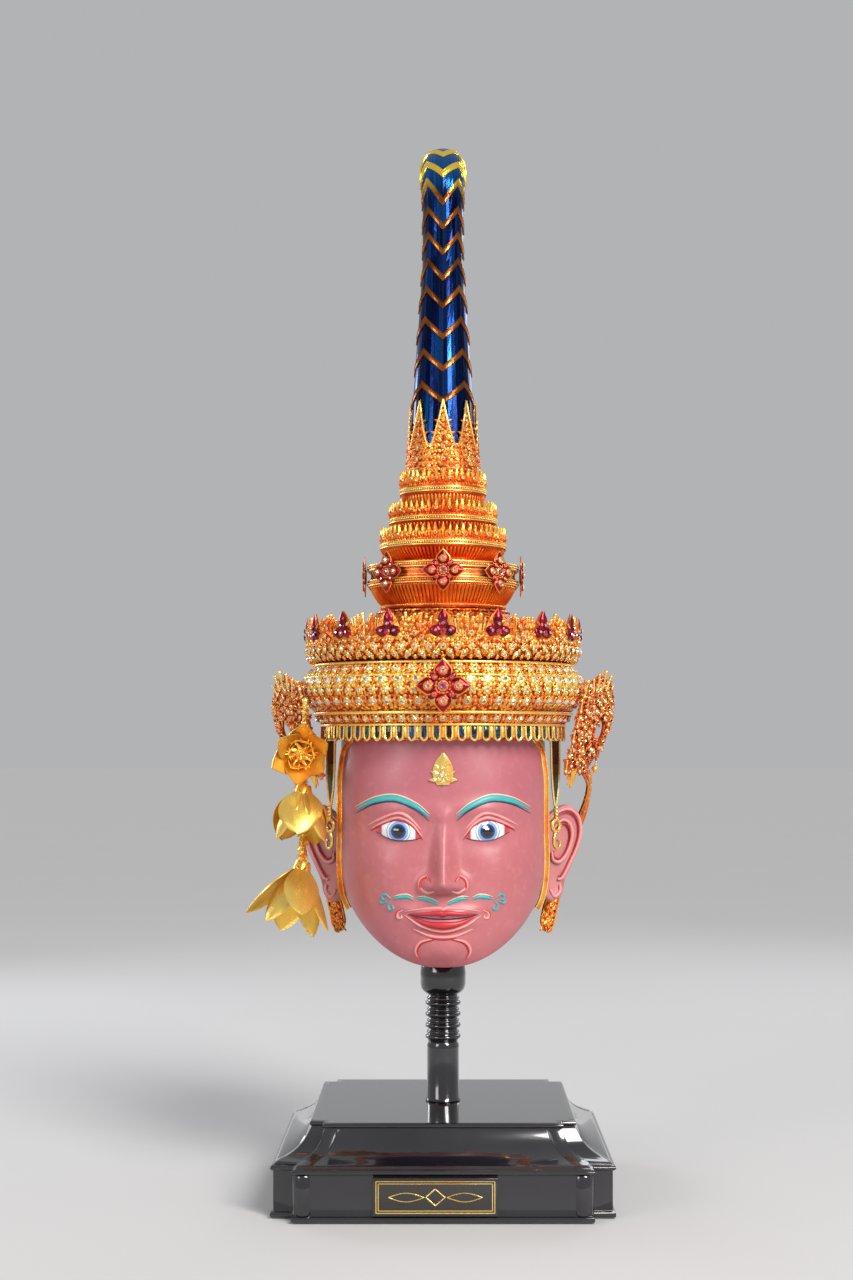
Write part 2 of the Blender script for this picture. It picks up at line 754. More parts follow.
def head_section(azimuth, z):
    """Half width, depth and squareness of the head at one height."""
    middle = (brow_z + nose_z) / 2
    jaw = max(0.0, (middle - z) / (middle - chin_z))
    crown = smooth(z, brow_z + face_height * 0.12, band_z)
    near_rim = math.exp(-max(0.0, z - rim_height(azimuth)) / 9) if z < band_z else 0.0
    tuck = 1 - 0.055 * near_rim
    half = (head_half - head_half * 0.16 * jaw**2 - 1.5 * crown) * tuck
    if math.cos(azimuth) > 0:
        depth = (head_front - 3 * jaw**2) * tuck
    else:
        depth = (head_back - 5 * jaw) * tuck
    return half, depth, lerp(2.3, 2.0, crown)


def head_point(azimuth, z, grow=0.0, with_relief=True, size=1.0):
    half, depth, square = head_section(azimuth, z)
    sine, cosine = math.sin(azimuth), math.cos(azimuth)
    x = size * (half + grow) * math.copysign(abs(sine) ** (2 / square), sine)
    y = -size * (depth + grow) * math.copysign(abs(cosine) ** (2 / square), cosine)
    if with_relief and cosine > 0:
        y -= relief(x, z) * smooth(abs(cosine), 0.05, 0.5)
    return Vector((x, y, z))


def on_face(x, z):
    """The point of the face's surface seen at x and z."""
    azimuth = 0.0
    for _ in range(3):
        half, _, square = head_section(azimuth, z)
        azimuth = math.asin(clamp(abs(x) / half) ** (square / 2))
    azimuth = math.copysign(azimuth, x)
    return head_point(azimuth, z)


def face_normal(x, z):
    step = 0.4
    along = on_face(x + step, z) - on_face(x - step, z)
    up = on_face(x, z + step) - on_face(x, z - step)
    return along.cross(up).normalized()


def mask_head():
    """The papier-mache head: an outer skin, an even wall and an open underside."""
    front = 74
    azimuths = [math.copysign(math.asin((abs(i) / front) ** 1.25), i) for i in range(-front, front + 1)]
    azimuths += [math.pi / 2 + math.pi * i / 50 for i in range(1, 50)]
    rings = []
    for row in range(11):
        share = 1 - row / 10
        grow = -wall + (0.6 * math.sin(math.pi * share) if row == 10 else 0)
        rings.append([head_point(a, lerp(rim_height(a), band_z, share), grow, False) for a in azimuths])
    shoulder = crest_z - 6
    dome_top = crest_z + 30
    inner_dome = []
    for row in range(7):
        turn = math.pi / 2 * row / 6.3
        z = lerp(shoulder, dome_top - wall, math.sin(turn))
        inner_dome.append([(p := head_point(a, shoulder, -wall, False, math.cos(turn))) and Vector((p.x, p.y,
            z)) for a in azimuths])
    rings = list(reversed(inner_dome)) + rings
    rows = 150
    for row in range(rows + 1):
        share = row / rows
        rings.append([head_point(a, lerp(rim_height(a), band_z, share)) for a in azimuths])
    for row in range(7):
        turn = math.pi / 2 * row / 6.3
        z = lerp(shoulder, dome_top, math.sin(turn))
        rings.append([(p := head_point(a, shoulder, 0, False, math.cos(turn))) and Vector((p.x, p.y, z))
            for a in azimuths])
    head = closed_up(loft("mask_head", rings))
    return settle(head, skin, ["mask_shell"], 50)


def stroke(line, width, height, taper=0.35, lift=0.0):
    """A raised brush line on the face, along x and z pairs; it thins towards both ends."""
    path = curve_through([(x, z, 0) for x, z in line], 7)
    last = len(path) - 1
    rings = []
    for i, p in enumerate(path):
        ahead = (path[min(i + 1, last)] - path[max(i - 1, 0)]).normalized()
        share = i / last
        ends = min(share, 1 - share)
        fat = width * (clamp(ends / taper) ** 0.6 if taper else 1.0) + 0.25
        ring = []
        for across, rise in ((-1, -1.2), (-1, 0.1), (-0.55, 0.8), (0, 1), (0.55, 0.8), (1, 0.1), (1, -1.2)):
            x = p.x - ahead.y * across * fat / 2
            z = p.y + ahead.x * across * fat / 2
            up = rise * height * (0.4 + 0.6 * clamp(ends / 0.15)) if rise > 0 else rise
            ring.append(on_face(x, z) + face_normal(x, z) * (up + lift))
        rings.append(ring)
    return loft("stroke", rings)


def both_sides(lines):
    return [*lines, *([(-x, z) for x, z in line] for line in lines)]


def brushwork(name, finish, lines, width, height, taper=0.35, lift=0.0):
    work = joined(name, [stroke(line, width, height, taper, lift) for line in lines])
    closed_up(work)
    return settle(work, finish, (), ROUND)


def shifted(line, dx, dz):
    return [(x + dx, z + dz) for x, z in line]


def face_paint():
    e = eye_unit
    brow = [(e * 0.30, brow_z - 1), (e * 0.62, brow_z + 8), (e * 1.1, brow_z + 14.5), (e * 1.6, brow_z + 12),
        (e * 2.04, brow_z + 4)]
    brushwork("brows", teal, both_sides([brow]), 5.2, 1.0, 0.4)
    brushwork("brow_lights", cream, both_sides([shifted(brow, 0, 2.9)]), 1.1, 0.9, 0.3)
    brushwork("brow_darks", navy, both_sides([shifted(brow, 0.2, -2.8)]), 1.1, 0.8, 0.3)

    wide = e * 0.5
    upper_lid = [(eye_x - wide - 2, eye_z - 5), (eye_x - wide * 0.62, eye_z + 6), (eye_x, eye_z + 11),
        (eye_x + wide * 0.7, eye_z + 7), (eye_x + wide + 5, eye_z + 1.5)]
    outer_fold = [(eye_x - wide - 1, eye_z + 1), (eye_x - wide * 0.5, eye_z + 11), (eye_x, eye_z + 14.5),
        (eye_x + wide * 0.75, eye_z + 10.5), (eye_x + wide + 8, eye_z + 4)]
    lower_lid = [(eye_x - wide - 0.5, eye_z - 5.5), (eye_x - wide * 0.4, eye_z - 7.2),
        (eye_x + wide * 0.3, eye_z - 6.6), (eye_x + wide + 1, eye_z - 0.5)]
    brushwork("eyelids", rose, both_sides([upper_lid, outer_fold]), 2.6, 1.3, 0.3)
    brushwork("eyelid_lines", red, both_sides([shifted(upper_lid, 0, -1.5), shifted(outer_fold[1:-1], 0,
        -0.3)]), 0.9, 1.5, 0.3)
    brushwork("lash_lines", navy, both_sides([lower_lid]), 0.8, 0.9, 0.3)

    moustache = [[(3, mouth_z + 10.5), (9, mouth_z + 13.5), (15, mouth_z + 15.5), (21, mouth_z + 15)],
        [(23.5, mouth_z + 14.5), (29, mouth_z + 16.8), (35, mouth_z + 16.2), (40, mouth_z + 14.6)]]
    curls = [[(42, mouth_z + 15), (46, mouth_z + 18), (49, mouth_z + 17), (48.5, mouth_z + 14),
        (46, mouth_z + 14.3)], [(41, mouth_z + 13), (44, mouth_z + 9.5), (43, mouth_z + 6), (40, mouth_z
        + 7), (41, mouth_z + 9.6)], [(44, mouth_z + 13), (49, mouth_z + 11), (51, mouth_z + 13.5)]]
    brushwork("moustache", teal, both_sides(moustache), 3.4, 1.1, 0.4)
    brushwork("moustache_curls", teal, both_sides(curls), 1.7, 1.0, 0.3)
    brushwork("moustache_lights", cream, both_sides([shifted(line, 0, 2.0) for line in moustache]), 0.9, 0.9,
        0.3)

    upper_lip = [(-27, mouth_z + 3.2), (-14, mouth_z + 3.6), (-4, mouth_z + 4.4), (0, mouth_z + 3.5),
        (4, mouth_z + 4.4), (14, mouth_z + 3.6), (27, mouth_z + 3.2)]
    lower_lip = [(-25, mouth_z + 0.6), (-13, mouth_z - 4.2), (0, mouth_z - 5.8), (13, mouth_z - 4.2),
        (25, mouth_z + 0.6)]
    parting = [(-28, mouth_z + 2.6), (-14, mouth_z + 0.2), (0, mouth_z - 0.6), (14, mouth_z + 0.2),
        (28, mouth_z + 2.6)]
    brushwork("upper_lip", red, [upper_lip], 5.0, 1.5, 0.5)
    brushwork("lower_lip", red, [lower_lip], 6.4, 1.7, 0.5)
    brushwork("lip_parting", navy, [parting], 0.8, 1.5, 0.3)
    lip_edge = [(-31, mouth_z + 5), (-15, mouth_z + 7.6), (-4, mouth_z + 8.4), (0, mouth_z + 7.4),
        (4, mouth_z + 8.4), (15, mouth_z + 7.6), (31, mouth_z + 5)]
    under_edge = [(-31, mouth_z + 2), (-17, mouth_z - 6.5), (0, mouth_z - 10.6), (17, mouth_z - 6.5),
        (31, mouth_z + 2)]
    chin_fold = [(-24, mouth_z - 9), (-11, mouth_z - 14.2), (0, mouth_z - 15.4), (11, mouth_z - 14.2),
        (24, mouth_z - 9)]
    brushwork("lip_edges", rose, [lip_edge, under_edge, chin_fold], 2.2, 1.2, 0.3)
    corner = [[(32, mouth_z + 6), (36, mouth_z + 4), (36.5, mouth_z), (33.5, mouth_z - 0.5),
        (33.5, mouth_z + 2)]]
    brushwork("mouth_corners", rose, both_sides(corner), 2.0, 1.2, 0.25)
    brushwork("mouth_lines", red, [shifted(chin_fold[1:-1], 0, -1.9), shifted(under_edge[1:-1], 0, -1.9),
        *both_sides([shifted(corner[0][:3], 1.3, 0)])], 0.8, 1.0, 0.3)
    nostril = [(e * 0.20, nose_z + 1.5), (e * 0.36, nose_z + 0.2), (e * 0.53, nose_z + 4),
        (e * 0.52, nose_z + 10), (e * 0.38, nose_z + 13), (e * 0.29, nose_z + 9.5)]
    brushwork("nostril_rims", rose, both_sides([nostril]), 2.1, 1.1, 0.3)
    brushwork("nostril_lines", red, both_sides([shifted(nostril[1:], -0.9, -0.4)]), 0.8, 1.3, 0.3)
    chin_arc = [(8, chin_z + 24), (18, chin_z + 21), (22, chin_z + 14), (19, chin_z + 7)]
    brushwork("chin_arcs", rose, both_sides([chin_arc]), 2.2, 1.2, 0.3)
    brushwork("chin_lines", red, both_sides([shifted(chin_arc, -1.5, -0.6)]), 0.8, 1.1, 0.3)


def eyes():
    """Two almond-shaped painted eyes, a little domed."""
    across, up = 26, 10
    for sign, name in ((-1, "eye_left"), (1, "eye_right")):
        top, bottom = [], []
        for i in range(across + 1):
            u = 2 * i / across - 1
            x = eye_x + u * eye_unit * 0.5
            tilt = 2.2 * u
            high = eye_z + tilt + 9.4 * (1 - abs(u) ** 2.2) ** 0.8 - 1.5
            low = eye_z + tilt - 5.6 * (1 - abs(u) ** 2.6) ** 0.8 - 1.5
            column_top, column_low = [], []
            for k in range(up + 1):
                z = lerp(low, high, k / up)
                dome = 1.3 * (1 - u * u) * math.sin(math.pi * k / up)
                at = on_face(x, z) + face_normal(x, z) * (0.35 + dome)
                below = on_face(x, z) - face_normal(x, z) * 1.5
                column_top.append(Vector((sign * at.x, at.y, at.z)))
                column_low.append(Vector((sign * below.x, below.y, below.z)))
            top.append(column_top)
            bottom.append(column_low)
        rings = [top[i] + list(reversed(bottom[i])) for i in range(across + 1)]
        eye = closed_up(loft(name, rings))
        settle(eye, eye_material, (), ROUND)


eye_material = eye_paint()
mask_head()
face_paint()
eyes()


# Ears


def ear_place(sign):
    root = moved(head_half - 3, 0, lobe_z - 84 * 0.16)
    place = root @ spun(math.radians(24)) @ spun(math.pi / 2, "X")
    return widened(-1) @ place if sign < 0 else place


def ear_line(points, steps=8):
    return curve_through([(x * 36, y * 84, z) for x, y, z in points], steps)


def ears():
    rim = [(-0.06, 0.14, 0), (0.0, 0.03, 0), (0.2, 0.0, 0), (0.42, 0.06, 0), (0.5, 0.2, 0), (0.66, 0.34, 0),
        (0.9, 0.55, 0), (0.97, 0.74, 0), (0.86, 0.9, 0), (0.58, 0.975, 0), (0.25, 0.93, 0), (-0.06, 0.82, 0)]
    helix = [(0.06, 0.82, 6.4), (0.3, 0.9, 6.8), (0.58, 0.93, 6.8), (0.82, 0.86, 6.8), (0.9, 0.72, 6.8),
        (0.82, 0.56, 6.6), (0.6, 0.37, 6.4), (0.42, 0.24, 6.2), (0.3, 0.22, 6.0)]
    inner = [(0.2, 0.74, 6.0), (0.42, 0.82, 6.3), (0.62, 0.78, 6.3), (0.68, 0.66, 6.3), (0.56, 0.5, 6.2),
        (0.36, 0.4, 6.0), (0.18, 0.42, 6.0), (0.16, 0.5, 6.0)]
    lobe = [(0.1, 0.12, 6.0), (0.22, 0.05, 6.0), (0.36, 0.1, 6.0), (0.36, 0.17, 6.0)]
    for sign, side in ((1, "right"), (-1, "left")):
        outline = ear_line(rim, 6)
        middle = Vector((12, 40, 0))
        rings = []
        for inset, z in ((0.96, 0.4), (1.0, 1.6), (1.0, 4.4), (0.965, 5.9), (0.9, 6.3), (0.82, 5.6),
            (0.7, 4.6), (0.4, 4.0), (0.08, 3.9)):
            rings.append([Vector((lerp(middle.x, p.x, inset), lerp(middle.y, p.y, inset), z))
                for p in outline])
        ear = loft("ear_" + side, rings)
        ear.data.transform(ear_place(sign))
        settle(closed_up(ear), skin_ear, (), ROUND)
        ridges = [tube("ridge", ear_line(line), lambda t: 1.7 * (0.45 + 0.55 * math.sin(math.pi * t) ** 0.5),
            8) for line in (helix, inner, lobe)]
        ridge = joined("ear_ridges_" + side, ridges)
        ridge.data.transform(ear_place(sign))
        settle(closed_up(ridge), rose, (), ROUND)
        lines = []
        for line, shrink in ((helix, 0.9), (inner, 0.84)):
            moved = [(lerp(0.4, x, shrink), lerp(0.6, y, shrink), z + 0.1) for x, y, z in line]
            lines.append(tube("line", ear_line(moved), lambda t: 0.85 * (0.3
                + 0.7 * math.sin(math.pi * t) ** 0.5), 6))
        red_line = joined("ear_lines_" + side, lines)
        red_line.data.transform(ear_place(sign))
        settle(closed_up(red_line), red, (), ROUND)


skin_ear = flat_paint("ear_paint", (0.60, 0.22, 0.22), (0.52, 0.17, 0.18), 0.4)
ears()


# Gold edging between the face and the hair


def edging():
    """A gilt rim that stands off the head along the hairline and shows from the front."""
    line = []
    for i in range(100):
        z = lerp(band_z + 1, edging_foot, i / 99)
        y = hairline(z)
        half, depth, square = head_section(1.2, z)
        line.append(Vector((half * (1 - (-y / depth) ** square) ** (1 / square), y, z)))
    outward = lambda p: Vector((0.35, -0.94, 0))
    for sign, side in ((1, "right"), (-1, "left")):
        strip = ribbon("face_edging_" + side, line, outward,
            [(-0.8, -1.4), (3.6, -1.4), (3.6, 0.4), (2.8, 0.9), (-0.2, 0.9), (-0.8, 0.4)])
        cords = []
        for at, size in ((-0.4, 0.85), (3.5, 0.7)):
            section = [(at + size * math.cos(TURN * k / 6), 0.5 + size * math.sin(TURN * k / 6))
                for k in range(6)]
            cords.append(ribbon("cord", line, outward, section))
        cord = joined("face_edging_cords_" + side, cords)
        for piece, finish in ((strip, orange_gilt), (cord, bright_gilt)):
            piece.data.transform(widened(sign))
            gild(closed_up(piece), finish)


edging_foot = 238.0
edging()


# The crown


def crown_band():
    z = lambda share: band_z + band_height * share
    r = band_radius - 1.2
    profile = [(86, z(0.005)), (r - 19.5, z(0.005)), (r - 18.6, z(0.03)), (r - 18.4, z(0.165))]
    profile += cord_profile(r - 17.0, z(0.195), 2.4)
    profile += [(r - 16.4, z(0.22)), (r - 12.6, z(0.315))]
    profile += cord_profile(r - 11.2, z(0.345), 3.2)
    profile += [(r - 9.7, z(0.38)), (r - 5.8, z(0.47)), (r - 2.4, z(0.55)), (r - 0.6, z(0.62)), (r, z(0.68)),
        (r - 0.9, z(0.73)), (r - 3, z(0.775))]
    profile += cord_profile(r - 4.0, z(0.80), 2.8)
    profile += [(r - 5.8, z(0.83)), (r - 7.6, z(0.87)), (r - 9.4, z(0.93))]
    profile += cord_profile(r - 10.4, z(0.965), 2.6)
    profile += [(r - 12, z(0.99)), (86, z(0.99))]
    band = turned("band_body", profile, 160, True)
    for v in band.data.vertices:
        if math.hypot(v.co.x, v.co.y) < 88:
            v.co.y *= 1.04
    settle(band, ground, ["crown_band"], 35)
    for name, radius, share, size in (("low", r - 16.4, 0.195, 2.3), ("middle", r - 10.6, 0.345, 3.0),
                                      ("high", r - 3.4, 0.80, 2.6), ("top", r - 9.8, 0.965, 2.4)):
        gild(hoop("band_cord_" + name, radius, z(share), size * 0.5, 8, 160), bright_gilt, ROUND)

    rows = [(0.885, 56, r - 7.4, 2.9, -0.6, 0.0), (0.745, 52, r - 1.2, 3.7, -0.35, 0.5),
        (0.625, 64, r + 0.0, 2.4, 0.15, 0.0), (0.49, 56, r - 4.4, 3.1, 0.6, 0.5),
        (0.27, 60, r - 13.8, 2.6, 0.7, 0.0)]
    petal = petal_model(1.25, 1.35, 0.42, 0, 4, 6)
    stones, petals = [], ([], [])
    for n, (share, count, radius, size, lean, shift) in enumerate(rows):
        for i in range(count):
            azimuth = TURN * (i + shift) / count
            stones.append(on_ring(radius, z(share), azimuth, lean, size * 0.84))
            place = on_ring(radius - 0.5, z(share), azimuth, lean, size)
            petals[n > 2].extend(place @ spun(TURN * (k + 0.5) / 6) @ moved(0, 0.62, 0) for k in range(6))
    set_stones("band", stones, clear, clear_table)
    for name, places, finish in (("high", petals[0], yellow_gilt), ("low", petals[1], orange_gilt)):
        gild(stamped("band_petals_" + name, petal, places), finish)
    curl = leaf_model(2.2, 4.2, 1.0, 0.5, 3)
    curls, sparks = [], []
    for share, count, radius, lean, shift, size in ((0.885, 56, r - 7.8, -0.6, 0.5, 1.0),
        (0.745, 52, r - 1.4, -0.35, 0.0, 1.1),
                                                    (0.68, 104, r - 0.2, 0.0, 0.5, 0.7),
                                                        (0.56, 112, r - 2.0, 0.45, 0.25, 0.75),
                                                    (0.49, 56, r - 4.8, 0.6, 0.0, 1.1),
                                                        (0.42, 112, r - 7.6, 0.7, 0.5, 0.7),
                                                    (0.27, 60, r - 14.0, 0.7, 0.5, 1.0)):
        for i in range(count):
            place = on_ring(radius, z(share), TURN * (i + shift) / count, lean, size)
            curls += [place @ spun(flip) for flip in (0.3, math.pi + 0.3)[: 1 if count > 100 else 2]]
            if count < 100:
                sparks.append(place @ moved(0, 0, 0.9) @ sized(1.05))
    gild(stamped("band_curls", curl, curls), gilt)
    set_stones("band_spark", sparks, rosy, rosy_table, None, orange_gilt)

    slats = 64
    bpy.ops.mesh.primitive_cube_add(size=1)
    pane = bpy.context.object
    pane.scale = (4.6, 9.4, 1.4)
    bpy.ops.object.transform_apply(location=False, rotation=False, scale=True)
    applied(pane, "BEVEL", width=1.3, segments=2)
    gild(stamped("band_panes", pane, round_ring(slats, r - 17.2, z(0.105), -0.04, 1, 0.5)), pane_glass)
    route = [(-2.9, 5.0, 0), (-2.8, 0, 0), (-2.5, -4.6, 0), (0, -6.8, 0), (2.5, -4.6, 0), (2.8, 0, 0),
        (2.9, 5.0, 0)]
    loop = tube("loop", curve_through(route, 3), 0.85, 5)
    gild(stamped("band_loops", loop, round_ring(slats, r - 16.9, z(0.105), -0.04, 1, 0.5)), bright_gilt)
    bpy.ops.mesh.primitive_cube_add(size=1)
    bar = bpy.context.object
    bar.scale = (3.4, 9.4, 1.8)
    bpy.ops.object.transform_apply(location=False, rotation=False, scale=True)
    applied(bar, "BEVEL", width=0.8, segments=2)
    gild(stamped("band_bars", bar, round_ring(slats, r - 18.0, z(0.105), -0.04)), yellow_gilt)
    dropped(petal, curl, pane, loop, bar)


def flower(name, azimuth, radius, z, size, nodes):
    """Four pointed petals of garnet enamel edged with gilt wire, a stone in each and a violet one between."""
    base = on_ring(radius, z, azimuth)
    quarter = [base @ spun(TURN * k / 4) for k in range(4)]
    petal = petal_model(size * 0.31, size * 0.37, size * 0.05, 0.95, 8)
    small = petal_model(size * 0.17, size * 0.24, size * 0.045, 0.6)
    petals = stamped("petals", petal, [m @ moved(0, size * 0.125, 0.8) for m in quarter])
    smalls = stamped("smalls", small, [m @ spun(TURN / 8) @ moved(0, size * 0.10, 0.7) for m in quarter])
    bpy.ops.mesh.primitive_cylinder_add(vertices=20, radius=size * 0.17, depth=1.6, location=(0, 0, 0.6))
    disc = bpy.context.object
    bpy.ops.object.transform_apply(location=True, rotation=True, scale=True)
    applied(disc, "BEVEL", width=0.5, segments=2, limit_method="ANGLE")
    back = stamped("back", disc, [base])
    settle(joined(name, [petals, smalls, back]), enamel, nodes, 50)
    wires = []
    half, foot, tip = size * 0.155, size * 0.12, size * 0.49
    edge = [(0, tip), (half * 0.45, tip * 0.86), (half, size * 0.30), (half * 0.8, size * 0.18), (0, foot),
        (-half * 0.8, size * 0.18), (-half, size * 0.30), (-half * 0.45, tip * 0.86), (0, tip)]
    rim = tube("rim", curve_through([(x, y, 1.0) for x, y in edge], 3), size * 0.015, 5)
    wires.append(stamped("rims", rim, quarter))
    bead = bead_model(size * 0.022)
    beads = [base @ spun(TURN * k / 12) @ moved(0, size * 0.135, 1.5) for k in range(12)]
    wires.append(stamped("beads", bead, beads))
    gild(joined(name + "_wires", wires), orange_gilt, ROUND)
    rise = size * 0.05 + 0.6
    spot = [m @ moved(0, size * 0.275, rise) @ sized(size * 0.060) for m in quarter]
    set_stones(name + "_tip", spot, clear, clear_table, None, orange_gilt)
    spot = [base @ moved(0, 0, 1.3) @ sized(size * 0.07)]
    set_stones(name + "_heart", spot, violet, violet_table, None, bright_gilt)
    spot = [m @ spun(TURN / 8) @ moved(0, size * 0.22, size * 0.045 + 0.7) @ sized(size * 0.036)
        for m in quarter]
    set_stones(name + "_side", spot, rosy, rosy_table, None, red_gilt)
    dropped(petal, small, disc, rim, bead)


def crown_crest():
    r = crest_radius
    lip = 40 * 0.36
    z = lambda rise: crest_z + 0.3 + rise
    dome = [(84 * math.cos(t), crest_z - 6 + 33 * math.sin(t)) for t in (0.25, 0.5, 0.8, 1.1, 1.4)]
    profile = [(dome[0][0], z(0)), (r - 9.5, z(0)), (r - 7, z(1)), (r - 4, z(3)), (r - 2.4, z(6)),
        (r - 1.6, z(9))]
    profile += cord_profile(r - 2.4, z(lip - 1.2), 2.4)
    profile += [(r - 8, z(lip)), (r - 12, z(lip - 1)), (90, z(22)), (70, z(32)), (60, z(39)), (57, z(41))]
    profile += cord_profile(56, z(42.6), 2.2)
    profile += [(53, z(44)), (0.0, z(44.2)), (0.0, dome[-1][1])] + list(reversed(dome[1:]))
    cap = turned("crest_cap", profile, 128, True)
    for v in cap.data.vertices:
        if v.co.z < z(30) and math.hypot(v.co.x, v.co.y) < 82:
            v.co.y *= 1.03
    settle(cap, ground, ["crown_crest"], 35)

    count = 16
    lobe = petal_model(9.2, 10.4, 2.1, 0.3, 8)
    tip = petal_model(8.2, 13.0, 1.7, 1.1, 8)
    backing = leaf_model(21, 29, 1.4, 0, 7, 0.3)
    curl = leaf_model(4.6, 10, 1.7, 0.5, 6)
    lobes, tips, backs, curls, violets, pales, rosies = [], [], [], [], [], [], []
    for i in range(count):
        place = on_ring(r - 3.8, z(lip - 4), TURN * i / count, 0.02)
        backs.append(place @ moved(0, 0, -0.6))
        heart = place @ moved(0, 10.5, 1.4)
        for turn in (-1.4, 1.4, 0.0):
            lobes.append(heart @ spun(turn) @ moved(0, 0.6, 0))
        tips.append(heart @ moved(0, 6.0, 0.2))
        pales.append(heart @ moved(0, 6.6, 2.4) @ sized(1.5))
        violets.append(heart @ moved(0, 0.2, 2.0) @ sized(1.7))
        for side in (-1, 1):
            pales.append(heart @ moved(side * 5.8, 1.1, 2.3) @ sized(1.4))
            for y, tilt, size in ((0.0, 1.1, 1.0), (5.0, 0.85, 0.95), (11.0, 0.6, 0.8), (17.0, 0.4, 0.6)):
                curls.append(place @ moved(side * (7.4 - y * 0.2), y, 0.3) @ spun(-side * tilt)
                    @ widened(side * size) @ Matrix.Scale(size, 4, (0, 1, 0)))
        for k in range(5):
            turn = TURN * k / 5
            rosies.append(place @ moved(2.5 * math.cos(turn), 2.6 + 2.5 * math.sin(turn), 1.6) @ sized(0.9))
    gild(stamped("crest_leaves", backing, backs), orange_gilt)
    gild(closed_up(stamped("crest_curls", curl, curls), 0.0001), gilt)
    gild(joined("crest_enamel", [stamped("lobes", lobe, lobes), stamped("tips", tip, tips)]), enamel)
    finger = finger_model(2.6, 19.0)
    knob = petal_model(3.6, 6.4, 1.9, 0.25, 4, 6)
    fingers, knobs, between = [], [], []
    for i in range(count):
        middle = TURN * (i + 0.5) / count
        for k in range(10):
            along = k - 4.5
            height = 1.12 - 0.012 * along * along + random.uniform(-0.3, 0.03)
            fingers.append(on_ring(r - 5.6, z(lip + 4), middle + along * 2.5 / r, 0.02, height,
                random.uniform(-0.12, 0.12) - 0.03 * along))
        for _ in range(48):
            across, rise = random.uniform(-13, 13), random.uniform(-3.5, 19)
            if abs(across) > 16 - rise * 0.35:
                continue
            out = r - 3.4 + random.uniform(-0.7, 0.7) + (0.5 if rise < 4 else 0)
            knobs.append(on_ring(out, z(lip - 4 + rise), middle + across / r, 0.04, random.uniform(0.7, 1.1),
                random.uniform(-0.5, 0.5) - 0.03 * across))
        for dx, y, size in ((0, 9.5, 2.0), (-6.0, 6.4, 1.6), (6.0, 6.4, 1.6), (0, 2.6, 1.5), (-10, 1.4, 1.4),
            (10, 1.4, 1.4), (-3.4, 15.5, 1.3), (3.4, 15.5, 1.3)):
            between.append(on_ring(r - 0.9, z(lip - 4 + y), middle + dx / r, 0.04, size * 0.85))
    gild(stamped("crest_fingers", finger, fingers), bright_gilt, ROUND)
    gild(stamped("crest_knobs", knob, knobs), orange_gilt)
    set_stones("crest_violet", violets, violet, violet_table, None, red_gilt)
    set_stones("crest_pale", pales, clear, clear_table, None, enamel)
    low = []
    for share, number, size, lean in ((0.62, 64, 1.9, 0.12), (0.26, 64, 1.9, 0.6)):
        low += round_ring(number, r - 0.9 - (0.62 - share) * 6, z(lip * share), lean, size,
            0.5 * (share < 0.5))
    set_stones("crest_low", low, clear, clear_table)
    set_stones("crest_rosy", between + rosies, rosy, rosy_table)
    petal = petal_model(3.4, 4.6, 1.3, 0, 4, 6)
    petals = []
    for row, (rise, inset, lean) in enumerate(((0.05, 5.6, 0.7), (0.34, 2.6, 0.3), (0.66, 1.4, 0.1), (0.95,
        1.8, 0.0))):
        petals += round_ring(96, r - inset, z(lip * rise - 1.2), lean, 0.95, 0.5 * (row % 2))
    gild(stamped("crest_petals", petal, petals), gilt)
    dropped(lobe, tip, backing, curl, finger, knob, petal)


def crown_bowl():
    low, high = bowl_low.z, bowl_high.z
    r = bowl_radius
    z = lambda share: lerp(low, high, share)
    profile = [(0, z(0)), (52, z(0))]
    profile += cord_profile(52.3, z(0.045), 2.2)
    steps = 12
    for i in range(steps + 1):
        t = i / steps
        profile.append((51.6 + (r - 53.6) * t**1.5, z(0.09 + 0.41 * t)))
    profile += [(r - 0.6, z(0.53)), (r - 0.6, z(0.62)), (r - 2.6, z(0.65)), (r - 3.0, z(0.75)),
        (r - 2.6, z(0.85)), (r - 0.6, z(0.87)), (r - 0.6, z(0.96)), (r - 4, z(0.975)), (r - 9, z(0.99)),
        (0, z(1))]
    settle(turned("bowl_body", profile, 128), red_gilt, ["crown_bowl"], 35)
    rise = z(0.5) - z(0.09)
    flute = petal_model(2.9, math.hypot(rise, r - 54) * 0.98, 1.5, 0.1, 6, 6)
    dot = bead_model(0.8)
    lean = math.atan2(r - 54, rise)
    flat = petal_model(3.4, 9.6, 1.3, 0.3, 5, 6)
    flutes = [stamped("flutes", flute, round_ring(112, 51.7, z(0.095), lean)),
        stamped("flats", flat, round_ring(100, r - 2.6, z(0.975), -1.5))]
    gild(joined("bowl_flutes", flutes), orange_gilt)
    pearls = round_ring(190, r - 0.2, z(0.575)) + round_ring(190, r - 0.2, z(0.915)) + round_ring(160, 53.0,
        z(0.06)) + round_ring(190, r - 2.2, z(0.485))
    gild(stamped("bowl_pearls", dot, pearls), yellow_gilt, ROUND)
    lines = []
    for radius, share in ((r - 0.3, 0.525), (r - 0.3, 0.63), (r - 0.3, 0.865), (r - 0.3, 0.965),
        (r - 2.7, 0.70), (r - 2.7, 0.80)):
        size = 0.62 if radius > r - 1 else 0.34
        lines.append(hoop("line", radius, z(share), size, 6, 128))
    gild(joined("bowl_lines", lines), bright_gilt, ROUND)
    dropped(flute, flat, dot)
    for i in range(8):
        flower("bowl_flower_%d" % (i + 1), TURN * i / 8, r + 1.0, z(0.76), bowl_flower_size,
            ["bowl_rosette_%d" % (i + 1)])


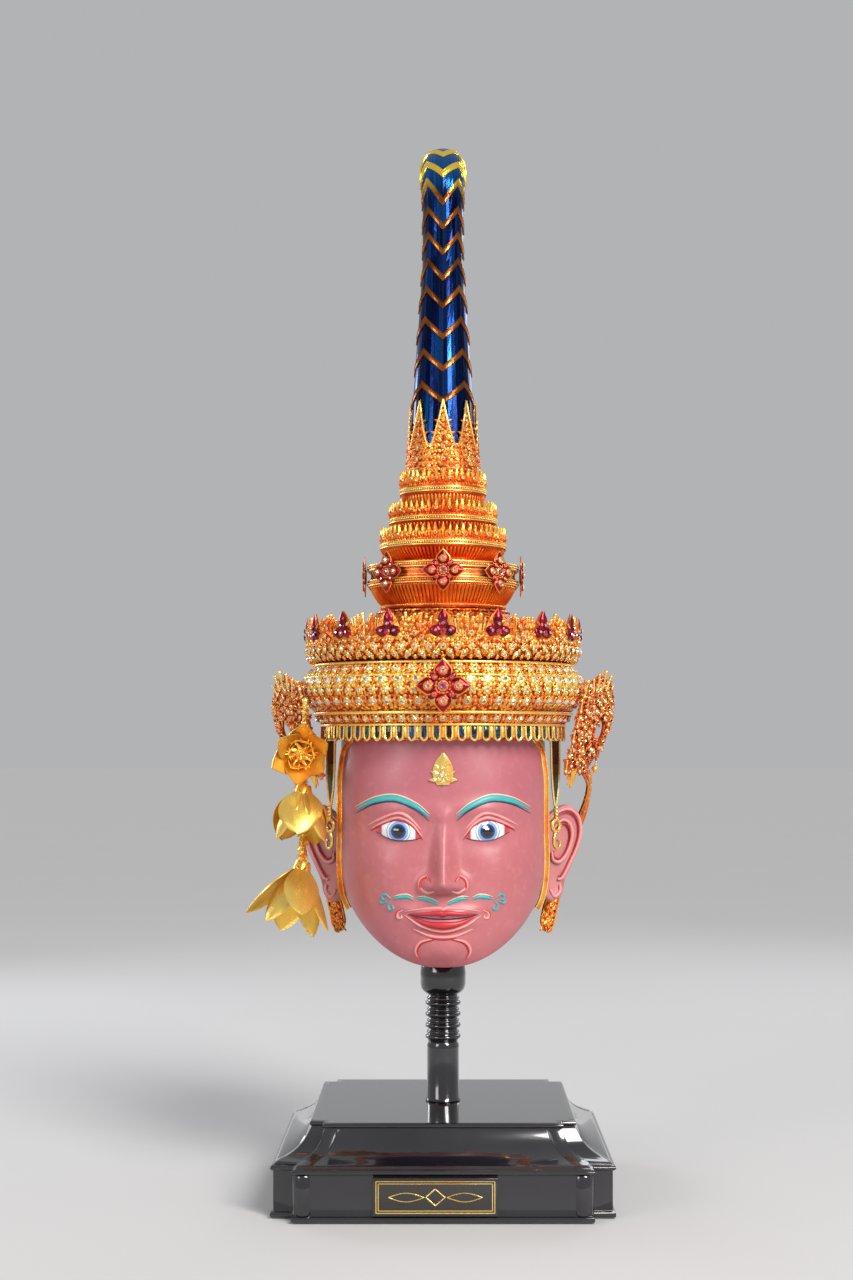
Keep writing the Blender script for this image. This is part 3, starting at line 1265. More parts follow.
def tier(name, node, low, high, foot, rim, leaves):
    """One flared tier: a fluted red underside, a rope of beads round its rim and a crowd of thick leaves."""
    top = high - tier_leaf
    height = top - low
    rim_z = low + height * 0.62
    profile = [(0, low), (foot, low), (foot - 0.6, low + 1)]
    for i in range(9):
        t = i / 8
        profile.append((lerp(foot, rim - 1.8, t**1.4), lerp(low + height * 0.12, rim_z - 1.5, t)))
    profile += [(rim - 0.9, rim_z - 0.8), (rim - 1.4, rim_z), (rim - 1.4, rim_z + height * 0.2),
        (rim - 2.6, top), (0, top)]
    settle(turned(name + "_body", profile, 96), red_gilt, [node], 35)
    run, rise = rim - 1.8 - foot, rim_z - 1.5 - low - height * 0.12
    flute = petal_model(2.7, math.hypot(run, rise), 1.3, 0.1, 6, 6)
    flutes = round_ring(int(foot * 2.3), foot + 0.1, low + height * 0.12, math.atan2(run, rise))
    gild(stamped(name + "_flutes", flute, flutes), orange_gilt)
    pearl = bead_model(0.95)
    rope_z = rim_z + height * 0.10
    gild(stamped(name + "_pearls", pearl, round_ring(int(TURN * rim / 2.1), rim - 0.8, rope_z)), yellow_gilt,
        ROUND)
    lines = []
    for radius, at in ((rim - 0.7, rope_z - 1.5), (rim - 0.9, rope_z + 1.5), (foot - 0.1, low + 1.2)):
        lines.append(hoop("line", radius, at, 0.62, 6, 96))
    gild(joined(name + "_lines", lines), bright_gilt, ROUND)
    lobe = petal_model(3.4, 7.2, 2.3, 0.3, 5, 6)
    point = petal_model(3.7, tier_leaf - 0.4, 2.3, 0.4, 6, 7)
    lobes, points, studs = [], [], []
    for i in range(leaves):
        azimuth = TURN * i / leaves
        base = on_ring(rim - 2.5, top - 0.6, azimuth, 0.05, random.uniform(0.84, 1.0),
            random.uniform(-0.12, 0.12))
        points.append(base)
        for side in (-1, 1):
            lobes.append(base @ moved(side * 1.7, -1.4, 0.5) @ spun(-side * random.uniform(0.15, 0.6)))
        if i % 2:
            studs.append(base @ moved(0, 2.6, 2.2) @ sized(1.15))
    for row, (inset, drop, size) in enumerate(((0.7, 2.2, 0.5), (0.6, 4.4, 0.42))):
        for i in range(leaves * 2):
            azimuth = TURN * (i + 0.5 * row + random.uniform(-0.2, 0.2)) / (leaves * 2)
            lobes.append(on_ring(rim - inset - 1.3, top - drop, azimuth, 0.1,
                size * random.uniform(0.9, 1.2), random.uniform(-0.5, 0.5)))
    gild(stamped(name + "_points", point, points), yellow_gilt)
    gild(stamped(name + "_lobes", lobe, lobes), orange_gilt)
    set_stones(name, studs, rosy, rosy_table)
    dropped(pearl, flute, lobe, point)


def scattered(inside, high, gap, tries=3000):
    """Places drawn inside a shape that keep their distance from each other."""
    places = []
    for _ in range(tries):
        p = Vector((random.uniform(0, high.x), random.uniform(0, high.y), 0))
        if inside(p) and all((p - q).length > gap for q in places):
            places.append(p)
    return places


def spire_radius(height):
    return lerp(spire_foot_radius, spire_top_radius, min(1.0, height / spire_taper))


def spire_centre(travel):
    """Centre, backward turn, radius and spread of the spire at a distance along it."""
    if travel <= spire_straight:
        return Vector((0, 0, spire_foot + travel)), 0.0, spire_radius(travel), 1.0
    share = clamp((travel - spire_straight) / (spire_bend * spire_arc))
    turn = spire_arc * share
    radius = spire_top_radius * (1.0 if share < 0.7 else math.sqrt(max(0.02, 1 - ((share - 0.7) / 0.3) ** 2)))
    spread = 1 + 0.12 * math.sin(math.pi * min(1.0, share * 1.1))
    rise = spire_foot + spire_straight + spire_bend * math.sin(turn)
    return Vector((0, spire_bend * (1 - math.cos(turn)), rise)), turn, radius, spread


def zigzag(azimuth):
    """0 at the chevrons' lower tips and 1 at their peaks, four of each to a turn."""
    return 1 - abs((azimuth / TURN * 4) % 1 - 0.5) * 2


def chevron(tip, rise, low, high, lift):
    """A band round the spire that climbs and falls in four points."""
    rings = []
    for i in range(64):
        azimuth = TURN * i / 64
        foot = tip + rise * zigzag(azimuth)
        steps = ((low, -1.0), (low, lift * 0.6), ((low + high) / 2, lift), (high, lift * 0.6), (high, -1.0))
        rings.append([spire_point(azimuth, foot + along, out) for along, out in steps])
    return loft("chevron", rings + [rings[0]], False)


def spire_point(azimuth, travel, lift=0.0):
    """A point of the spire's skin; azimuth 0 is its front."""
    centre, turn, radius, spread = spire_centre(travel)
    x = (radius * spread + lift) * math.sin(azimuth)
    back = -(radius + lift) * math.cos(azimuth)
    return Vector((x, centre.y + back * math.cos(turn), centre.z - back * math.sin(turn)))


def spire():
    core = [[spire_point(TURN * i / 48, spire_length * r / 90, -0.9) for i in range(48)] for r in range(91)]
    settle(closed_up(loft("spire_core", core)), black_gloss, ["spire"], 50)

    tips = [63.7, 91.3, 118.5, 145, 168.5, 190.5, 212, 232.5, 251.5, 269.5]
    chevrons = [(tip, 16.0 if tip < 240 else 12.5) for tip in tips]
    strips = 40
    points, faces, stamps = [], [], []
    for k in range(len(chevrons) + 1):
        low_tip, low_rise = chevrons[k - 1] if k else (26.0 - chevron_arm, 0.0)
        high_tip, high_rise = chevrons[k] if k < len(chevrons) else (spire_length - 0.4, 0.0)
        rows = 2 if high_tip < spire_straight else 5
        for i in range(strips):
            tilt = [random.uniform(-0.16, 0.16) for _ in range(4)]
            start = len(points)
            for row in range(rows + 1):
                t = row / rows
                left, right = lerp(tilt[0], tilt[3], t), lerp(tilt[1], tilt[2], t)
                for side, lift in ((0.05, -1.5), (0.05, left - 0.3), (0.95, right - 0.3), (0.95, -1.5)):
                    azimuth = TURN * (i + side) / strips
                    low = low_tip + chevron_arm + low_rise * zigzag(azimuth) + 0.3
                    high = high_tip + high_rise * zigzag(azimuth) - 0.3
                    points.append(spire_point(azimuth, lerp(low, high, t), lift))
            stamps += [(i * 0.37 + 0.11, k * 0.61 + 0.3)] * (rows * 4 + 2)
            for row in range(rows):
                for c in range(4):
                    a, b = start + row * 4 + c, start + row * 4 + (c + 1) % 4
                    faces.append((a, a + 4, b + 4, b))
            end = start + rows * 4
            faces += [(start, start + 1, start + 2, start + 3), (end + 3, end + 2, end + 1, end)]
    glass = object_of("spire_glass", points, faces)
    layer = glass.data.uv_layers.new(name="strips")
    for polygon in glass.data.polygons:
        for loop in polygon.loop_indices:
            layer.data[loop].uv = stamps[polygon.index]
    settle(closed_up(glass, 0.0001), spire_mirror, (), FACETED)

    ambers = [chevron(tip, rise, 0, chevron_arm, 0.45) for tip, rise in chevrons]
    gild(closed_up(joined("spire_chevrons", ambers), 0.01), amber, FACETED)
    edges = [chevron(tip, rise, at, at + 0.7, 0.75) for tip, rise in chevrons
        for at in (-0.3, chevron_arm - 0.4)]
    gild(closed_up(joined("spire_chevron_edges", edges), 0.01), amber)


def spire_sleeve():
    leaves, per = 8, 12
    columns = leaves * per
    foot, valley, tall = 0.6, 29.0, 69.0
    rows = 10
    rings = []
    for i in range(columns + 1):
        azimuth = TURN * i / columns
        share = abs((i / per) % 1 - 0.5) * 2
        top = lerp(valley, tall, share**1.3)
        heights = [lerp(foot, top, k / rows) for k in range(rows + 1)]
        column = [(height, 2.0 - 0.7 * k / rows) for k, height in enumerate(heights)]
        column += [(height, 0.35) for height in reversed(heights)]
        rings.append([spire_point(azimuth, height, lift) for height, lift in column])
    settle(closed_up(loft("sleeve_body", rings, False), 0.01), ground, ["spire_sleeve"], 50)
    lines, studs, curls = [], [], []
    for n in range(leaves):
        for side in (-1, 1):
            line = []
            for s in range(13):
                share = s / 12
                azimuth = TURN * (n + side * 0.5 * (1 - share) * 0.94) / leaves
                line.append(spire_point(azimuth, lerp(valley, tall, share**1.3) - 1.2, 1.7))
            lines.append(tube("edge", line, 0.95, 6))
        for height, size in ((8, 1.6), (18, 1.4), (28, 1.3), (39, 1.1), (50, 0.9)):
            studs.append(on_ring(spire_radius(height) + 2.0, spire_foot + height, TURN * n / leaves, -0.07,
                size))
        for height in (12, 22):
            studs.append(on_ring(spire_radius(height) + 2.0, spire_foot + height, TURN * (n + 0.5) / leaves,
                -0.07, 1.2))
        for height in range(3, 58, 5):
            for column in (1, 2, 3):
                spread = 0.13 * column - (0.03 if height % 2 else 0)
                if height > lerp(valley, tall, max(0.0, 1 - 2 * spread) ** 1.3) - 6:
                    continue
                for side in (-1, 1):
                    azimuth = TURN * (n + side * spread) / leaves
                    base = on_ring(spire_radius(height) + 1.7, spire_foot + height, azimuth, -0.07, 1,
                        -side * 0.5)
                    curls.append(base @ widened(side))
    gild(closed_up(joined("sleeve_edges", lines)), bright_gilt, ROUND)
    set_stones("sleeve", studs, rosy, rosy_table)
    curl = leaf_model(2.6, 5.4, 1.0, 0.5, 4)
    gild(closed_up(stamped("sleeve_curls", curl, curls), 0.0001), orange_gilt)
    dropped(curl)


spire_mirror = spire_glass()
amber = amber_glass()
crown_band()
band_flower_z = band_z + band_height * 0.66
band_flower_size, bowl_flower_size = 44, 35
flower("band_flower_front", 0, band_radius + 0.4, band_flower_z, band_flower_size, ["band_rosette_front"])
flower("band_flower_back", math.pi, band_radius + 0.4, band_flower_z, band_flower_size, ["band_rosette_back"])
crown_crest()
crown_bowl()
tier("collar", "crown_collar", collar_low.z, collar_high.z, 42.8, collar_high.x, 58)
tier("lower_tier", "crown_lower_tier", lower_low.z, lower_high.z, 38.6, lower_high.x + 0.7, 50)
tier("upper_tier", "crown_upper_tier", upper_low.z, upper_high.z, 31.5, upper_high.x, 40)
spire()
spire_sleeve()


# Ornaments beside the face


flame_root = Vector((band_radius - 20, -band_radius * 0.26, band_z - 27))


def flame_place(sign):
    place = (moved(*flame_root) @ spun(math.radians(55)) @ spun(math.radians(90 + 14), "X"))
    return widened(-1) @ place if sign < 0 else place


def tail_line():
    start = flame_root + Vector((17.5, 23, 4))
    drop = 140.0
    steps = [(0, 0, 0), (6, 19, -0.09), (3, 34, -0.25), (-6, 39, -0.42), (-16, 37, -0.62), (-25, 30, -0.82),
        (-31, 21, -1)]
    return curve_through([start + Vector((x, y, z * drop)) for x, y, z in steps], 8)


def ear_flames():
    w, h = 62.0, 88.0
    centre = Vector((w * 0.40, h * 0.50, 0))
    hole = Vector((w * 0.62, h * 0.42, 0))
    hole_wide, hole_tall = w * 0.1, h * 0.1
    outline = [(1, 1), (w * 0.48, 0)]
    for i in range(17):
        turn = math.radians(lerp(-50, 112, i / 16))
        outline.append((centre.x + w * 0.46 * math.cos(turn), centre.y + h * 0.42 * math.sin(turn)))
    outline.append((1, h * 0.84))
    dense = []
    for i in range(len(outline)):
        a, b = Vector((*outline[i], 0)), Vector((*outline[(i + 1) % len(outline)], 0))
        dense += [a.lerp(b, s / 4) for s in range(4)]
    inner = []
    for p in dense:
        away = math.atan2(p.y - hole.y, p.x - hole.x)
        inner.append(Vector((hole.x + hole_wide * math.cos(away), hole.y + hole_tall * math.sin(away), 0)))
    lift = lambda ring, z: [Vector((p.x, p.y, z)) for p in ring]

    def on_plate(p):
        if Vector(((p.x - hole.x) / (hole_wide + 2.2), (p.y - hole.y) / (hole_tall + 2.2))).length < 1:
            return False
        if p.x > centre.x:
            return Vector(((p.x - centre.x) / (w * 0.47),
                (p.y - centre.y) / (h * 0.43))).length < 1 or p.y < 16 and p.x < w * 0.48
        return p.y < lerp(h * 0.86, h * 0.93, p.x / centre.x)

    spots = scattered(on_plate, Vector((w, h)), 4.5)
    rim = [p for p in dense[::2] if p.x > 3]
    for sign, side in ((1, "right"), (-1, "left")):
        at = flame_place(sign)

        def hung(name, model, places, finish, angle=50):
            piece = stamped(name + "_" + side, model, places)
            piece.data.transform(at)
            return settle(closed_up(piece, 0.0001), finish, (), angle)

        plate = loft("flame_plate_" + side, [lift(inner, 0.6), lift(dense, 0.6), lift(dense, 2.0),
            lift(inner, 2.0), lift(inner, 0.6)], False)
        plate.data.transform(at)
        settle(closed_up(plate), red_gilt, ["ear_flame_" + side], 40)
        lick, curl, bead, finger = leaf_model(8, 15, 2.6, 0.42), leaf_model(3.2, 7.0, 1.8, 0.5,
            4), bead_model(1.0), finger_model(3.0, 15)
        petal = petal_model(1.35, 1.5, 0.55, 0.2, 4, 6)
        licks, curls, petals, groups = [], [], [], ([], [], [])
        for p in rim:
            away = math.atan2(p.y - centre.y, p.x - centre.x)
            heading = away - math.pi / 2 + random.uniform(-0.6, 0.8)
            place = Matrix.Translation(p - Vector((math.cos(away), math.sin(away), 0)) * 3.4
                + Vector((0, 0, 1.2)))
            licks.append(place @ spun(heading) @ sized(random.uniform(0.42, 0.66)))
        for k, p in enumerate(spots):
            swell_here = 1 - min(1.0, (p - centre).length / 46) ** 2
            rise = 1.6 + 2.4 * swell_here + random.uniform(-0.4, 0.9)
            size = random.uniform(1.25, 2.0)
            place = Matrix.Translation(p + Vector((0, 0, rise))) @ spun(random.uniform(-0.35, 0.35),
                "X") @ spun(random.uniform(-0.35, 0.35), "Y")
            petals += [place @ spun(TURN * n / 5 + k) @ sized(size) @ moved(0, 0.55, -0.3) for n in range(5)]
            groups[(k * 7 + k // 3) % 3].append(place @ sized(size * 0.82))
            for n in range(2):
                heading = math.atan2(p.y - hole.y, p.x - hole.x) + n * 2.6 + random.uniform(-0.5, 0.5)
                curls.append(Matrix.Translation(p + Vector((1.6 * n, 1.8 - 3 * n, rise - 1.4)))
                    @ spun(heading) @ sized(0.85))
        for i in range(16):
            p = Vector((random.uniform(0.5, 4), 2.5 + 3.4 * i + random.uniform(-1, 1),
                random.uniform(1.2, 3.2)))
            place = moved(*p) @ spun(math.pi / 2 + random.uniform(-0.5, 0.7))
            licks.append(place @ sized(random.uniform(0.5, 0.72) * (1.15 - 0.03 * i)))
            petals += [place @ moved(random.uniform(-2, 2), random.uniform(1, 6.5), 1.0) @ spun(TURN * n / 5)
                @ sized(1.5) @ moved(0, 0.55, -0.3) for n in range(5)]
        hung("flame_licks", lick, licks, red_gilt)
        hung("flame_curls", curl, curls, orange_gilt)
        hung("flame_petals", petal, petals, red_gilt)
        rods = []
        for i, (turn, size) in enumerate(((50, 0.75), (66, 1.0), (84, 1.05), (102, 0.9), (118, 0.8))):
            a = math.radians(turn)
            p = centre + Vector((w * 0.36 * math.cos(a), h * 0.34 * math.sin(a), 3.0))
            rods.append(moved(*p) @ spun((a - math.pi / 2) * 0.7) @ sized(size))
        for i in range(6):
            rods.append(moved(0.6 - 1.5 * (5 - i) * 0.6, 3 + 12.8 * i, 3.4) @ spun(0.1 - 0.22 * (i % 2))
                @ sized(0.6))
        hung("flame_fingers", finger, rods, bright_gilt, 60)
        beads = [moved(0.6 - 0.9 * (5 - i), 2.0 + 12.8 * i, 3.4) @ sized(1.7) for i in range(7)]
        for y, size in ((13, 0.9), (10, 0.9), (7.4, 1.2), (3.6, 2.9), (0.2, 1.0)):
            beads.append(moved(44.5, y, 2.4) @ sized(size))
        hung("flame_beads", bead, beads, bright_gilt, 60)
        hung("flame_leaf", lick, [moved(9 + 3.5 * n, 3 + n, 2.2 - 0.8 * n) @ spun(math.pi + 0.5 - 0.45 * n)
            @ sized(1.05) for n in range(4)], yellow_gilt)
        for group, facets, table, tint in zip(groups, (rosy, enamel, clear),
            (rosy_table, enamel, clear_table), ("rosy", "garnet", "clear")):
            set_stones("flame_%s_%s" % (tint, side), group, facets, table, at)

        line = tail_line()
        mirror = widened(sign)
        outward = lambda p: Vector((lerp(1.0, 0.45, clamp((flame_root.z - p.z) / 120)),
            lerp(-0.35, -1.0, clamp((flame_root.z - p.z) / 120)), 0))
        section = [(-5.8, -0.9), (5.8, -0.9), (5.8, 0.8), (4.6, 1.3), (-4.6, 1.3), (-5.8, 0.8)]
        taper = lambda t: (0.9 + 0.3 * t) * math.sqrt(clamp((1.002 - t) / 0.05))
        strip = ribbon("tail_strip_" + side, line, outward, section, taper)
        edges = [ribbon("edge", line, outward, [(a + 0.9 * math.cos(TURN * k / 6), 0.8
            + 0.9 * math.sin(TURN * k / 6)) for k in range(6)], taper) for a in (-5.4, 5.4)]
        edge = joined("tail_edges_" + side, edges)
        scales, studs = [], []
        for i in range(1, len(line) - 1, 2):
            p = line[i]
            ahead = (line[i + 1] - line[i - 1]).normalized()
            out = outward(p)
            out = (out - ahead * out.dot(ahead)).normalized()
            wide = out.cross(ahead).normalized()
            basis = Matrix((wide, -ahead, out)).transposed().to_4x4()
            for across in (-3.0, 3.0):
                place = Matrix.Translation(p + out * 1.0 + wide * across) @ basis
                scales.append(place @ spun(across * 0.25) @ widened(math.copysign(1.2, across)))
                if i > len(line) * 0.45:
                    scales.append(place @ moved(across * 0.4, 0, 0.6) @ spun(across) @ sized(0.9))
            if i % 4 == 1:
                studs.append(Matrix.Translation(p + out * 1.3) @ basis @ sized(1.5))
        for piece, finish in ((strip, tail_ground), (edge, orange_gilt),
            (stamped("tail_curls_" + side, curl, scales), orange_gilt)):
            piece.data.transform(mirror)
            gild(closed_up(piece, 0.0001), finish)
        set_stones("tail_" + side, studs, rosy, rosy_table, mirror)
        dropped(lick, curl, bead, finger, petal)


def side_locks():
    """Slim locks in front of the ears: black glass in a pale gilt frame, a ring below it and a curled foot."""
    tall = 92.0
    for sign, side in ((1, "right"), (-1, "left")):
        place = moved(head_half + 5, -head_front * 0.26,
            band_z - 0.3 - tall) @ spun(math.radians(50)) @ spun(math.pi / 2, "X")
        if sign < 0:
            place = widened(-1) @ place
        left = curve_through([(-6, 92, 0), (-5.0, 70, 0), (-3.4, 52, 0), (-0.6, 38, 0)], 7)
        right = curve_through([(6, 92, 0), (5.8, 74, 0), (4.6, 54, 0), (1.6, 38, 0)], 7)
        wedge = loft("lock_glass_" + side, [[Vector((p.x, p.y, 0.2)), Vector((q.x, q.y, 0.2)), Vector((q.x,
            q.y, 1.2)), Vector((p.x, p.y, 1.2))] for p, q in zip(left, right)])
        wires = [tube("wire", [p + Vector((0, 0, 1.2)) for p in line], 1.0, 6) for line in (left, right)]
        bpy.ops.mesh.primitive_torus_add(major_radius=5.0, minor_radius=1.5, major_segments=28,
            minor_segments=8, location=(0.6, 21.0, 1.4))
        ring = bpy.context.object
        bpy.ops.object.transform_apply(location=True, rotation=True, scale=True)
        stem = tube("stem", curve_through([(0.5, 39, 1.4), (0.2, 33, 1.4), (0.6, 26.5, 1.4)], 5), 1.5, 8)
        foot = tube("foot", curve_through([(0.4, 16, 1.4), (-1.8, 10, 1.4), (-1.0, 4, 1.4), (3.0, 1.8, 1.4),
            (6.4, 4.6, 1.4), (5.6, 8.8, 1.4), (2.6, 8.6, 1.4)], 6), lambda t: 1.7 * (1 - 0.5 * t), 8)
        bead = bead_model(1.0)
        beads = [moved(0.3, 36 - 3.0 * i, 2.6) @ sized(1.5) for i in range(4)]
        beads += [moved(0.6 + 5.2 * math.cos(TURN * i / 10), 21 + 5.2 * math.sin(TURN * i / 10), 2.6)
            @ sized(0.9) for i in range(10)]
        frame_lock = joined("lock_frame_" + side, [*wires, ring, stem, foot, stamped("beads", bead, beads)])
        for piece, finish, nodes in ((frame_lock, bright_gilt, ["side_lock_" + side]),
            (wedge, black_gloss, [])):
            piece.data.transform(place)
            settle(closed_up(piece), finish, nodes, 50)
        dropped(bead)


def brow_jewel():
    low, high = span("brow_jewel")
    width, height = high.x - low.x, high.z - low.z
    base = moved(0, high.y, low.z) @ spun(math.pi / 2, "X")
    leaf = leaf_model(width, height, 2.0)
    curl = leaf_model(4.2, 8, 1.6, 0.5)
    parts = [stamped("jewel", leaf, [base])]
    curls = []
    for sign in (-1, 1):
        for y, size, turn in ((3, 1.0, 0.9), (8, 0.9, 0.6), (13, 0.7, 0.35)):
            curls.append(base @ moved(sign * (width * 0.30 - y * 0.12), y, 0.5) @ spun(-sign * turn)
                @ widened(sign) @ sized(size * 0.9))
    parts.append(stamped("curls", curl, curls))
    settle(closed_up(joined("brow_jewel_leaf", parts), 0.0001), bright_gilt, ["brow_jewel"], 50)
    stone, collar = stone_model(), setting_model()
    gems = [base @ moved(x, y, 1.5) @ sized(size) for x, y,
        size in ((0, 8, 2.4), (-3.6, 4.6, 1.3), (3.6, 4.6, 1.3), (0, 3, 1.2), (0, 14, 1.4))]
    settle(closed_up(stamped("brow_jewel_stones", stone, gems), 0.0001), clear, (), FACETED)
    settle(closed_up(stamped("brow_jewel_settings", collar, [m @ sized(1.18) for m in gems]), 0.0001),
        bright_gilt, (), ROUND)
    dropped(leaf, curl, stone, collar)


def petal_mesh(length, width, opening, curl, turn):
    """One thin cupped petal: points, faces and, for each face, its finish and its place along the petal."""
    rows, columns = 18, 10
    outside, inside = [], []
    for i in range(rows + 1):
        t = lerp(0.02, 1.0, i / rows)
        lean = opening + curl * t
        half = max(0.25, width / 2 * math.sin(math.pi * t**1.1) ** 0.65)
        out = 3.4 + length * t * math.sin(lean)
        along = length * t * math.cos(lean)
        normal = Vector((math.cos(lean), 0, -math.sin(lean)))
        for k in range(columns + 1):
            u = 2 * k / columns - 1
            vein = 0.5 * math.exp(-((u / 0.12) ** 2)) * math.sin(math.pi * t) + 0.14 * math.cos(
                6 * math.pi * u) * math.sin(math.pi * t)
            p = Vector((out - half * 0.35 * u * u, half * u, along)) - normal * vein
            p.z += 0.7 * math.sin(6 * t + turn * 3) * u * t
            outside.append(p + normal * 0.45)
            inside.append(p - normal * 0.45)
    count = len(outside)
    faces, finishes, spots = [], [], []
    wide = columns + 1
    for i in range(rows):
        for k in range(columns):
            a = i * wide + k
            quad = (a, a + 1, a + wide + 1, a + wide)
            spot = [((k + dk) / columns, (i + di) / rows) for dk, di in ((0, 0), (1, 0), (1, 1), (0, 1))]
            faces += [quad, tuple(count + v for v in reversed(quad))]
            finishes += [0, 1]
            spots += [spot, list(reversed(spot))]
    border = [k for k in range(wide)] + [i * wide + columns for i in range(1, rows + 1)]
    border += [rows * wide + k for k in reversed(range(columns))] + [i * wide
        for i in reversed(range(1, rows))]
    for i, a in enumerate(border):
        b = border[(i + 1) % len(border)]
        faces.append((b, a, count + a, count + b))
        finishes.append(0)
        spots.append([(0.5, 0.5)] * 4)
    spin = spun(turn)
    return [spin @ p for p in outside + inside], faces, finishes, spots


def blossom(name, node, centre, length, width, petals, opening, curl, sway, down, sideways, stamens):
    place = moved(*centre) @ spun(sideways, "Y") @ spun(math.pi / 2 + down, "X")
    points, faces, finishes, spots = [], [], [], []
    for grow, spread, shift in ((1.0, 0.0, 0.0), (0.66, -0.35, 0.5))[: 2 if stamens else 1]:
        for i in range(petals):
            turn = TURN * (i + 0.25 + shift) / petals
            lean = opening + spread + sway * math.sin(i * 2.4)
            p, f, g, s = petal_mesh(length * grow, width * grow, lean, curl, turn)
            start = len(points)
            points += p
            faces += [tuple(v + start for v in face) for face in f]
            finishes += g
            spots += s
    blown = object_of(name, points, faces)
    layer = blown.data.uv_layers.new(name="petal")
    for polygon, finish, spot in zip(blown.data.polygons, finishes, spots):
        polygon.material_index = finish
        for loop, uv in zip(polygon.loop_indices, spot):
            layer.data[loop].uv = uv
    blown.data.materials.append(petal_outside)
    blown.data.materials.append(petal_inside)
    blown.data.transform(place)
    settle(blown, petal_outside, [node], 50)

    leaf, bead, curl_leaf = leaf_model(5.5, 9.5, 1.2), bead_model(1.0), leaf_model(2.6, 7.0, 1.0, 0.5, 5)
    cup = [place @ spun(TURN * i / 8) @ moved(0, -4.6, -4) @ spun(math.pi / 2 + 0.35, "X") for i in range(8)]
    seeds, crumple = [], []
    for i in range(30 if stamens else 12):
        turn = i * 2.399
        out = (1.3 * math.sqrt(i + 0.5)) * (1.2 if stamens else 0.8)
        high = (7 + 5 * math.cos(out * 0.25)) if stamens else 8
        spot = place @ moved(out * math.cos(turn), out * math.sin(turn), high)
        seeds.append(spot @ sized(1.2 if stamens else 0.9))
        if stamens:
            crumple.append(spot @ spun(turn) @ spun(0.7 + 0.5 * math.sin(i * 1.7), "X") @ sized(1.35))
            crumple.append(spot @ spun(turn + 2) @ spun(1.2, "X") @ sized(1.15))
    bpy.ops.mesh.primitive_uv_sphere_add(segments=16, ring_count=10, radius=6.2)
    calyx = bpy.context.object
    calyx.data.transform(place)
    parts = [calyx, stamped("cup", leaf, cup), stamped("seeds", bead, seeds)]
    if crumple:
        parts.append(stamped("crumple", curl_leaf, crumple))
    gild(joined(name + "_calyx", parts), yellow_gilt)
    dropped(leaf, bead, curl_leaf)


strand_top = Vector((-band_radius * 0.934, -band_radius * 0.47, band_z + band_height / 2))
open_place = Vector((-band_radius * 0.96, -band_radius * 0.42, band_z - 10))
bell_place = Vector((-band_radius * 0.95, -band_radius * 0.42, band_z - 41))
hanging_place = Vector((-band_radius * 0.96, -band_radius * 0.4, band_z - 104))


def strand():
    behind = open_place + Vector((0, band_radius * 0.1, 0))
    knots = [strand_top, strand_top.lerp(behind, 0.5) + Vector((0, 1.8, 0)), behind,
        behind.lerp(bell_place, 0.5), bell_place, bell_place.lerp(hanging_place, 0.5), hanging_place
        + Vector((0, 0, 3.3))]
    line = curve_through(knots, 14)
    settle(closed_up(tube("strand_wire", line, 1.1, 8)), bright_gilt, ["pendant_strand"], 60)
    bead, leaf = bead_model(1.0), leaf_model(3.6, 7.2, 1.4, 0.45, 4)
    beads, leaves = [], []
    for i, p in enumerate(line):
        if i % 2 == 0:
            beads.append(moved(*p) @ sized(2.0 + 0.9 * (i % 6 == 0)))
        crowd = 7 if i > len(line) * 0.72 else 3
        if i % 3 == 2 or crowd == 7:
            for k in range(crowd):
                turn = spun(TURN * k / crowd + i * 0.7)
                swing = spun(math.pi / 2 + random.uniform(0.2, 1.2), "X") @ spun(math.pi)
                leaves.append(moved(*p) @ turn @ moved(0, -1.2, 0) @ swing)
    gild(stamped("strand_beads", bead, beads), bright_gilt, ROUND)
    gild(stamped("strand_leaves", leaf, leaves), yellow_gilt)
    dropped(bead, leaf)


ear_flames()
side_locks()
brow_jewel()
strand()
blossom("blossom_top", "pendant_blossom_top", open_place, 29, 25, 6, 1.05, -0.25, 0.1, 0.12, -0.15, True)
blossom("blossom_middle", "pendant_blossom_middle", bell_place, 46, 36, 5, 0.84, -0.4, 0.1, 1.38, 0.08, False)
blossom("blossom_bottom", "pendant_blossom_bottom", hanging_place, 58, 30, 6, 0.7, -0.16, 0.16, 1.3, 0.2,
    False)


# The stand


